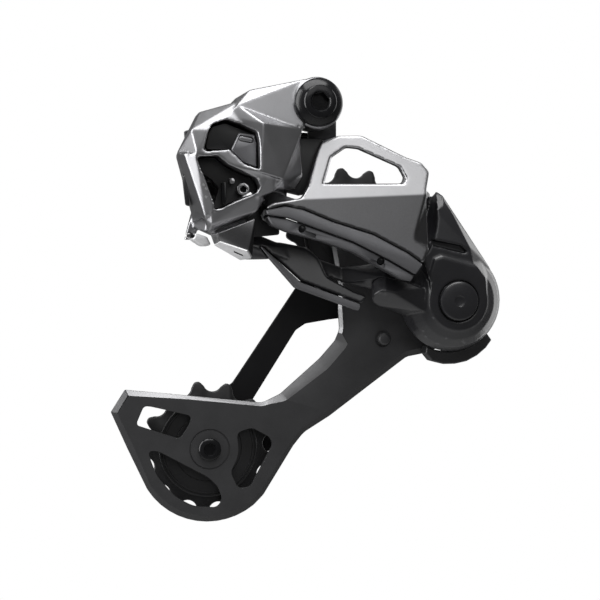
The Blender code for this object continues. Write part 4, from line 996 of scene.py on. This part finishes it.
@dataclass
class FrontKnuckle:
    """The dark housing round the cage axle, with its cap, pins, seal and skirt."""

    front: float = -15.5
    cap_radius: float = 8.0
    cap_clearance: float = 0.25
    shelf_depth: float = 6.0

    def build_housing(self) -> None:
        """The housing, with the sloped shelf and the slot between its arm and its round front."""
        front, deep = self.front, self.front + self.shelf_depth
        shelf = [(46.0, front, -66.0), (47.6, front, -60.9), (50.5, front, -59.9),
                 (65.0, front, -63.8), (68.6, front, -68.5), (69.2, front, -76.8),
                 (46.0, front, -80.0), (45.6, deep, -55.6), (61.3, deep, -58.6),
                 (68.4, deep, -61.2), (71.4, deep, -66.0), (71.4, deep, -76.0),
                 (45.0, deep, -80.0), (50.0, front + 3.0, -56.6), (61.0, front + 3.0, -59.0)]
        slot = rounded([(45.2, -52.6, 1.2), (58.8, -55.2, 1.0), (62.2, -58.4, 1.0),
                        (59.0, -58.1, 1.0), (47.2, -55.4, 1.0)])
        well = rod(level_with(HUB), front - 1.0, deep + 0.1, self.cap_radius + self.cap_clearance,
                   steps=64)
        housing = carve(copy_of("front_knuckle_housing"), [convex(shelf)], "UNION", "MANIFOLD")
        hollows = [slab(slot, front - 4.0, front + 3.4), well]
        housing = carve(housing, hollows, "DIFFERENCE", "MANIFOLD")
        place("front_knuckle_shell", forge(housing), "front_knuckle", FINISH.dark,
              ("front_knuckle_housing",), smooth=FORGE_SMOOTH)

    def build(self) -> None:
        """Build every piece of the front knuckle."""
        self.build_housing()
        y, wide = self.front, self.cap_radius
        profile = [(y - 1.15, 0.0), (y - 1.15, 1.5), (y - 1.3, 2.0), (y - 1.5, 2.3),
                   (y - 1.5, wide - 1.2), (y - 1.38, wide - 0.8), (y - 1.0, wide - 0.35),
                   (y - 0.5, wide - 0.2), (y + 0.6, wide - 0.2), (y + 0.6, wide), (y + 2.6, wide),
                   (y + 2.6, 0.0)]
        place("front_knuckle_cap_disc", lathe(profile, level_with(HUB), steps=96), "front_knuckle",
              FINISH.dark, ("front_knuckle_cap",), smooth=30.0)
        for node in ("front_outer_pin", "front_inner_pin", "axle_sleeve"):
            skin(node, FINISH.steel)
        skin("knuckle_seal", FINISH.seal, 0.1)
        skin("knuckle_skirt", FINISH.resin, 0.4)


@dataclass
class Links:
    """The two links of the parallelogram, with the outer one's guard and skid strip."""

    face: float = -18.96
    lean: float = 0.25
    level: float = -48.0
    window: tuple[Point, ...] = ((3.2, -31.1), (6.8, -20.7), (12.7, -16.8), (17.4, -17.2),
                                 (33.3, -24.2), (35.4, -28.4), (34.4, -30.7))
    window_middle: Point = (19.0, -25.0)
    window_flare: float = 1.09
    front_edge: tuple[Point, ...] = ((44.6, -32.0), (37.4, -53.0))
    clip_places: tuple[Point, ...] = ((-4.1, -50.8), (22.9, -62.3))

    def face_at(self, height: float) -> float:
        """How far outboard the leaning face lies at a height."""
        return self.face + self.lean * (height - self.level)

    def build_frame(self) -> None:
        """The bright frame, its window broken with a wide chamfer."""
        middle_x, middle_z = self.window_middle
        points: list[Corner] = []
        for x, z in self.window:
            wide_x = middle_x + (x - middle_x) * self.window_flare
            wide_z = middle_z + (z - middle_z) * self.window_flare
            points.append((wide_x, self.face_at(wide_z) - 0.5, wide_z))
            points.append((x, self.face_at(z) + 1.7, z))
        above = [(x, y, z) for x in (-30.0, 60.0) for z in (-75.0, -5.0)
                 for y in (-45.0, self.face_at(z))]
        wedge = [(x, self.face_at(z) + depth, z) for x, z in self.front_edge
                 for depth in (-0.6, -0.15)]
        wedge += [(47.5, self.face_at(z) + depth, z) for z in (-33.0, -57.0)
                  for depth in (-4.0, 3.0)]
        wedge += [(43.6, self.face_at(-57.2) - 0.6, -57.2)]
        frame_shape = carve(copy_of("outer_link"), [convex(points), convex(above), convex(wedge)],
                            "DIFFERENCE", "MANIFOLD")
        place("outer_link_frame", forge(frame_shape), "outer_link", FINISH.link, ("outer_link",),
              smooth=FORGE_SMOOTH)

    def build_skid(self) -> None:
        """The skid strip, with a small recess at each of its clips."""
        cutters = []
        for x, z in self.clip_places:
            recess = rounded([(x - 3.0, z + 1.9, 0.5), (x + 3.1, z - 0.1, 0.5),
                              (x + 2.6, z - 1.9, 0.5), (x - 0.4, z - 0.9, 0.3),
                              (x - 3.4, z + 0.3, 0.5)])
            cutters.append(slab(recess, -30.0, self.face_at(z) + 1.9))
        strip = carve(copy_of("outer_link_skid"), cutters)
        place("outer_link_skid_strip", strip, "outer_link", FINISH.guard, ("outer_link_skid",),
              0.35, 25.0)

    def build(self) -> None:
        """Build every piece of both links."""
        self.build_frame()
        skin("outer_link_guard", FINISH.guard, 0.3, 25.0)
        self.build_skid()
        forged("inner_link", FINISH.dark, "inner_link_frame")
        skin("inner_link_cover", FINISH.guard, 0.3, 25.0)
        for node in ("skid_screw_rear", "skid_screw_front"):
            skin(node, FINISH.bolt, 0.15)


@dataclass
class RearKnuckle:
    """The grey faceted housing, with the battery, the drive, the covers and the screws."""

    boss_radius: float = 10.2
    boss_front: float = -16.8
    bolt_bore: float = 6.8
    pin_bore: float = 2.3
    back_face: float = 5.0
    battery_window: tuple[Corner, ...] = (
        (-44.9, -19.6, 1), (-43.0, -11.9, 1), (-41.3, -8.9, 2), (-36.2, -7.2, 1), (-30.6, -9.0, 1),
        (-24.8, -12.0, 1), (-23.9, -15.9, 1), (-23.6, -26.4, 0.5), (-29.4, -24.4, 1),
        (-35.2, -18.8, 1))
    drive_window: tuple[Corner, ...] = (
        (-47.4, -21.6, 0.8), (-39.6, -21.0, 1), (-35.6, -24.4, 1), (-24.6, -29.6, 0.8),
        (-22.9, -33.4, 0.8), (-31.5, -38.0, 1), (-37.7, -41.1, 1), (-41.2, -41.6, 0.5),
        (-40.2, -39.3, 0.5), (-38.4, -33.0, 1), (-41.5, -29.6, 1), (-45.3, -27.4, 1))
    back_pocket: tuple[Point, ...] = (
        (-48.0, -11.5), (-35.0, -6.5), (-25.5, -13.5), (-26.5, -25.0), (-46.5, -25.5))

    def solids(self) -> list[Shape]:
        """The faceted solids that the casing is forged from.

        Returns:
            One convex shape for each.
        """
        outer, foot = OUTER_REAR, joint_place("inner_link_turn")
        arm = [(-5.0, -15.2, 9.2), (-26.3, -14.4, 4.7), (-32.3, -13.6, 1.1), (-31.7, -18.4, -1.6),
               (-5.4, -17.6, -9.9), (-5.0, -3.6, 9.2), (-26.3, -3.0, 4.4), (-32.0, -1.0, 0.8),
               (-31.5, 1.0, -6.0), (-5.4, -3.6, -9.9), (-19.0, 3.0, -14.0)]
        chest = [(-31.7, -18.2, -1.6), (-6.2, -17.4, -10.2), (-22.6, -23.2, -8.8),
                 (-23.2, -22.8, -27.6), (-14.6, -20.6, -30.0), (-7.0, -16.6, -14.4),
                 (-36.4, -17.8, -6.0), (-30.6, -20.0, -8.0), (-30.0, -2.0, -4.0),
                 (-8.0, -2.0, -14.0), (-20.0, 3.0, -28.0), (-28.0, -20.6, -26.0)]
        shoulder = [(-7.0, -16.4, -14.4), (-14.4, -20.4, -29.8), (-5.8, -12.8, -26.5),
                    (-5.0, -11.2, -28.4), (-8.3, -9.6, -33.8), (-14.1, -16.4, -32.4),
                    (-17.6, -17.2, -33.4), (-19.7, -20.8, -10.0), (-20.0, -2.0, -12.0),
                    (-8.0, -2.0, -14.5), (-8.0, 2.0, -26.0), (-22.0, 6.0, -28.0)]
        flank = [(-30.0, -16.6, 0.4), (-38.5, -12.6, -2.5), (-45.4, -9.6, -3.7),
                 (-46.8, -8.4, -5.3), (-53.8, -8.4, -19.1), (-53.5, -8.0, -22.0),
                 (-49.3, -16.0, -11.2), (-47.4, -18.2, -19.9), (-43.2, -18.8, -11.6),
                 (-36.0, -19.2, -6.6), (-24.4, -21.6, -10.6), (-24.0, -22.2, -27.4),
                 (-44.0, -19.2, -22.0), (-38.0, -19.6, -25.0), (-53.0, 5.0, -20.0),
                 (-45.4, 6.0, -5.5), (-30.0, 6.0, -2.0), (-19.0, 5.0, -13.0), (-24.0, 8.0, -30.0),
                 (-49.0, 7.0, -30.0)]
        rear_lug = (circle(outer, 5.2, PIN_WAY) + circle(outer + PIN_WAY * 12.0, 6.0, PIN_WAY)
                    + [Vector((-26.0, -4.0, -27.0)), Vector((-26.0, 5.0, -30.0))])
        upper_ear = (circle(foot - PIN_WAY * 4.0, 5.5, PIN_WAY)
                     + circle(foot + PIN_WAY * 6.0, 6.0, PIN_WAY)
                     + [Vector(point) for point in ((-44.0, 6.0, -26.0), (-28.0, 7.5, -28.0),
                                                    (-46.0, 0.0, -30.0), (-47.0, 2.0, -48.0),
                                                    (-41.0, -1.0, -50.0))])
        lower_bar = [(-41.6, -18.0, -42.2), (-44.2, -14.0, -44.6), (-42.4, -13.0, -50.0),
                     (-22.6, -18.6, -34.4), (-20.5, -15.4, -37.6), (-23.8, -16.0, -42.0),
                     (-41.4, -16.6, -47.2), (-40.0, 1.0, -40.5), (-41.0, 1.0, -50.0),
                     (-26.5, -13.0, -44.5), (-32.0, 1.0, -45.0), (-29.0, -12.0, -36.5)]
        rear_bar = [(-53.8, -9.0, -19.6), (-52.0, -14.6, -20.0), (-47.6, -18.0, -20.6),
                    (-45.6, -17.6, -27.5), (-40.0, -18.6, -41.6), (-44.0, -16.2, -44.6),
                    (-47.0, -9.0, -42.0), (-53.4, 1.0, -20.5), (-46.0, 1.0, -22.0),
                    (-40.5, 1.0, -40.5), (-46.5, 2.0, -46.0)]
        bridge = [(-48.0, -18.0, -19.6), (-36.0, -20.2, -19.6), (-32.6, -20.8, -22.8),
                  (-22.4, -22.0, -27.4), (-23.2, -20.2, -30.6), (-34.0, -19.2, -26.4),
                  (-38.4, -18.6, -23.6), (-45.6, -17.4, -26.0), (-48.0, -10.0, -21.0),
                  (-24.0, -12.0, -28.0)]
        cheek = [(-24.4, -21.6, -27.0), (-19.1, -21.4, -27.0), (-14.1, -16.2, -32.0),
                 (-17.6, -17.2, -34.5), (-24.0, -18.4, -37.0), (-24.5, -12.0, -30.0),
                 (-19.0, -12.6, -31.0), (-22.5, -12.8, -37.0)]
        hinge_ear = [(-49.8, 3.4, -53.0), (-46.2, 3.4, -53.0), (-49.8, 5.8, -53.0),
                     (-46.2, 5.8, -53.0), (-46.5, 3.4, -42.0), (-42.5, 3.4, -44.0),
                     (-43.0, 7.0, -36.0), (-46.5, 5.8, -40.0)]
        return [convex(points) for points in (arm, chest, shoulder, flank, rear_lug, upper_ear,
                                              lower_bar, rear_bar, bridge, cheek, hinge_ear)]

    def hollows(self) -> list[Shape]:
        """The shapes that are cut out of the casing: bores, windows and the room for the link."""
        outer, foot = OUTER_REAR, joint_place("inner_link_turn")
        screw, forward = Vector((-14.0, -1.5, -11.85)), Vector((1.0, 0.0, 0.0))
        bores = [(ORIGIN, self.boss_front - 1.0, 1.0, self.bolt_bore, INBOARD),
                 (ORIGIN, -3.3, 12.0, 14.6, INBOARD), (screw, -12.0, 12.0, 1.8, forward),
                 (screw, -12.0, -5.0, 2.9, forward),
                 (joint_place("battery_door_turn"), 5.0, 11.0, 1.1, INBOARD),
                 (outer + PIN_WAY * 1.3, -30.0, 0.0, 7.5, PIN_WAY),
                 (foot - PIN_WAY * 3.0, -16.0, 0.3, 6.6, PIN_WAY),
                 (outer, -10.0, 9.0, self.pin_bore, PIN_WAY),
                 (foot, -10.0, 4.5, self.pin_bore, PIN_WAY)]
        return [*(rod(*bore, steps=48) for bore in bores),
                slab([(-60.0, 10.0), (-10.0, 10.0), (-10.0, -27.5), (-60.0, -27.5)],
                     self.back_face, 30.0),
                slab(self.back_pocket, self.back_face - 8.5, 30.0),
                slab(rounded(self.battery_window), -25.0, -7.0),
                slab(rounded(self.drive_window), -25.0, -4.0),
                convex([(-52.6, -8.2, -28.0), (-50.0, -8.5, -27.0), (-48.6, -8.5, -40.4),
                        (-50.8, -8.0, -40.0), (-52.0, -2.6, -28.0), (-49.4, -2.6, -27.0),
                        (-48.2, -2.6, -40.4), (-50.4, -2.6, -40.0)])]

    def build_casing(self) -> None:
        """Forge the casing from its faceted solids, then soften its edges."""
        radius = self.boss_radius
        front, chamfer = self.boss_front, 1.2
        blank = lathe([(front, 0.0), (front, radius - chamfer), (front + chamfer, radius),
                       (0.5, radius), (0.5, 0.0)], ORIGIN)
        blank = carve(blank, self.solids(), "UNION", "MANIFOLD")
        blank = carve(blank, self.hollows(), "DIFFERENCE", "MANIFOLD")
        place("rear_knuckle_shell", forge(blank), "rear_knuckle", FINISH.casing,
              ("rear_knuckle_casing",), smooth=FORGE_SMOOTH)

    def build_gap_shade_pieces(self) -> None:
        """Two dark pieces set in the gaps between the casing and the links, as painted shade there.
        """
        shoulder = [(-9.5, -13.0, 1), (4.0, -13.0, 1.0), (3.4, -18.0, 1), (-0.6, -31.0, 1.5),
                    (-4.5, -35.5, 1), (-11.0, -34.0, 1)]
        lower = [(-27.0, -36.0, 1), (-20.5, -37.5, 1), (-18.0, -44.0, 1), (-13.0, -47.0, 1),
                 (-13.0, -51.0, 1), (-18.0, -51.5, 1), (-25.5, -52.0, 1)]
        # These dark pieces stand in for the shade between the casing and the links.
        for name, corners, front in (("shoulder", shoulder, -7.5), ("lower", lower, -4.5)):
            place(name + "_gap_shade", slab(rounded(corners), front, -1.5, 0.5), "rear_knuckle",
                  FINISH.resin, smooth=40.0)

    def build_foot(self) -> None:
        """The bright plate under the lower cover, with its slot."""
        corners = [Vector(point) for point in (
            (-38.3, -14.0, -53.3), (-27.3, -16.0, -57.0), (-25.2, -13.0, -60.0),
            (-29.4, -11.5, -60.7), (-36.3, -10.0, -56.6), (-39.8, -9.0, -54.6))]
        middle = sum(corners, Vector()) / len(corners)
        out = (corners[1] - corners[0]).cross(corners[4] - corners[0]).normalized()
        if out.z > 0.0:
            out = -out
        ring = [middle + (corner - middle) * 0.94 for corner in corners]
        plate = convex([corner + out * level for level in (-0.7, 0.6) for corner in ring])
        slot = rounded([(-32.9, -57.2, 0.5), (-29.0, -58.9, 0.5), (-28.6, -59.6, 0.5),
                        (-32.4, -58.0, 0.5)])
        plate = carve(plate, [slab(slot, -30.0, 0.0)])
        place("rear_cover_foot", plate, "rear_knuckle", FINISH.foot, smooth=25.0)

    def build(self) -> None:
        """Build every piece of the rear knuckle."""
        self.build_casing()
        skin("rear_lower_cover", FINISH.cover, 0.35, 25.0, name="rear_lower_shell")
        self.build_gap_shade_pieces()
        self.build_foot()
        forged("battery_door", FINISH.foot, "battery_door_flap", 0.35)
        skin("battery_panel", FINISH.panel, 0.3, 25.0)
        skin("function_button", FINISH.panel, 0.2, 25.0, name="function_button_pad")
        for node, edge in (("battery", 0.5), ("battery_latch", 0.4), ("drive_unit", 0.4),
                           ("drive_gearbox", 0.4), ("rear_back_cover", 0.5)):
            skin(node, FINISH.resin, edge, 20.0)
        for node, edge in (("drive_lever", 0.3), ("adjust_screw", 0.2), ("door_hinge_pin", 0.2)):
            skin(node, FINISH.bolt, edge)
        for node in ("drive_motor", "lever_pin", "lever_spring", "rear_outer_pin",
                     "rear_inner_pin"):
            skin(node, FINISH.steel)


@dataclass
class HangerSide:
    """What the derailleur hangs by: the bolt, its bush and the stop plate."""

    front: float = -22.0
    back: float = -17.1
    face_radius: float = 6.4
    head_radius: float = 9.4
    socket_radius: float = 3.7
    shank_radius: float = 5.0
    thread_from: float = 2.0
    thread_pitch: float = 1.0
    thread_depth: float = 0.55

    def build_bolt(self) -> None:
        """The hollow-headed bolt: a stepped head, a hexagon socket and a threaded shank."""
        face, wide, head, shank = self.front, self.face_radius, self.head_radius, self.shank_radius
        plain = copy_of("hanger_bolt")
        end = max(vert.co.y for vert in plain.verts)
        plain.free()
        profile = [(face, 0.0), (face, wide - 0.7), (face + 0.12, wide - 0.3),
                   (face + 0.45, wide), (face + 0.9, wide + 0.1), (face + 1.1, wide + 0.5),
                   (face + 2.6, head - 0.7), (face + 3.1, head - 0.25), (face + 3.5, head),
                   (self.back, head), (self.back, shank), (self.thread_from, shank)]
        pitch, crest = self.thread_pitch, self.thread_from
        while crest + pitch < end - 0.8:
            profile += [(crest + 0.5 * pitch, shank - self.thread_depth), (crest + pitch, shank)]
            crest += pitch
        profile += [(end, shank - 1.0), (end, 0.0)]
        hexagon = [(self.socket_radius * math.cos(math.radians(60 * k + 12)),
                    self.socket_radius * math.sin(math.radians(60 * k + 12))) for k in range(6)]
        countersink = lathe([(face - 1.0, 0.0), (face - 1.0, self.socket_radius + 1.2),
                             (face + 0.5, self.socket_radius - 0.1), (face + 0.5, 0.0)], ORIGIN)
        bolt = carve(lathe(profile, ORIGIN, steps=96),
                     [slab(hexagon, face - 3.0, face + 3.6), countersink])
        place("hanger_bolt_turned", bolt, "mount", FINISH.bolt, ("hanger_bolt",), smooth=28.0)

    def build(self) -> None:
        """Build every piece of the hanger side."""
        self.build_bolt()
        skin("hanger_bush", FINISH.steel)
        skin("stop_plate", FINISH.dark, 0.3)


# ------------------------------------------------------------------ studio
@dataclass
class Softbox:
    """One large soft light."""

    name: str
    place: tuple[float, float, float]
    size: tuple[float, float]
    power: float
    target: tuple[float, float, float] = (0.0, 0.0, -0.07)

    def build(self) -> None:
        """Hang the light."""
        light = bpy.data.lights.new(self.name, "AREA")
        light.shape = "RECTANGLE"
        light.size, light.size_y = self.size
        light.energy = self.power
        made = add(self.name, light)
        made.location = self.place
        way = Vector(self.target) - Vector(self.place)
        made.rotation_euler = way.to_track_quat("-Z", "Y").to_euler()


@dataclass
class Studio:
    """The floor, the light and the camera."""

    azimuth: float = 11.0
    fall: float = 2.0
    distance: float = 0.565
    aim: tuple[float, float, float] = (-0.0039, 0.0, -0.0770)
    field_of_view: float = 24.0
    sensor: float = 36.0
    ambient: float = 0.13
    floor_radius: float = 1.4
    floor_height: float = -0.9
    softboxes: list[Softbox] = field(default_factory=lambda: [
        Softbox("top_softbox", (-0.05, -0.22, 0.72), (0.9, 0.55), 9.0),
        Softbox("right_strip", (0.55, 0.30, -0.02), (0.40, 0.9), 2.2),
        Softbox("left_strip", (-0.70, -0.10, 0.12), (0.30, 0.9), 6.0),
        Softbox("front_fill", (0.05, -0.85, 0.42), (0.6, 0.5), 1.6)])

    def build(self) -> None:
        """Set up the whole studio."""
        self.build_camera()
        self.build_world()
        self.build_floor()
        for softbox in self.softboxes:
            softbox.build()

    def build_camera(self) -> None:
        """Place the camera."""
        turn, dip = math.radians(self.azimuth), math.radians(self.fall)
        way = Vector((math.sin(turn) * math.cos(dip), math.cos(turn) * math.cos(dip),
                      -math.sin(dip)))
        camera = bpy.data.cameras.new("camera")
        camera.sensor_width = self.sensor
        camera.lens = self.sensor / 2 / math.tan(math.radians(self.field_of_view / 2))
        camera.clip_start = 0.01
        made = add("camera", camera)
        made.location = Vector(self.aim) - way * self.distance
        made.rotation_mode = "QUATERNION"
        made.rotation_quaternion = way.to_track_quat("-Z", "Y")
        bpy.context.scene.camera = made

    def build_world(self) -> None:
        """A white surround to look at, and a dimmer one to light by."""
        world = bpy.data.worlds.new("studio_surround")
        world.use_nodes = True
        tree = world.node_tree
        background = tree.nodes["Background"]
        path = tree.nodes.new("ShaderNodeLightPath")
        mix = tree.nodes.new("ShaderNodeMix")
        mix.data_type = "FLOAT"
        mix.inputs[2].default_value = self.ambient
        mix.inputs[3].default_value = 1.0
        tree.links.new(path.outputs["Is Camera Ray"], mix.inputs[0])
        tree.links.new(mix.outputs[0], background.inputs["Strength"])
        background.inputs["Color"].default_value = (1.0, 1.0, 1.0, 1.0)
        bpy.context.scene.world = world
        bpy.context.scene.view_settings.view_transform = "Standard"

    def build_floor(self) -> None:
        """A pale round floor below the object."""
        shape = bmesh.new()
        bmesh.ops.create_circle(shape, cap_ends=True, segments=96, radius=self.floor_radius)
        bmesh.ops.translate(shape, vec=(0.0, 0.0, self.floor_height), verts=shape.verts)
        mesh = mesh_of("pale_floor", shape)
        graph = Graph("pale_floor")
        graph.shader.inputs["Base Color"].default_value = (0.86, 0.86, 0.86, 1.0)
        graph.shader.inputs["Roughness"].default_value = 0.8
        mesh.materials.append(graph.material)
        add("pale_floor", mesh)


def main() -> None:
    """Build the looks, piece by piece."""
    logging.basicConfig(level=logging.INFO, format="%(message)s")
    for node in frame["nodes"].values():
        node.data.materials.clear()
        node.data.materials.append(FINISH.steel.dress())
    for assembly in (HangerSide(), RearKnuckle(), Links(), FrontKnuckle(), Cage(),
                     ChainWheel("guide", GUIDE), ChainWheel("tension", TENSION)):
        log.info("-- %s", type(assembly).__name__)
        assembly.build()
    Studio().build()


if __name__ == "__main__":
    main()
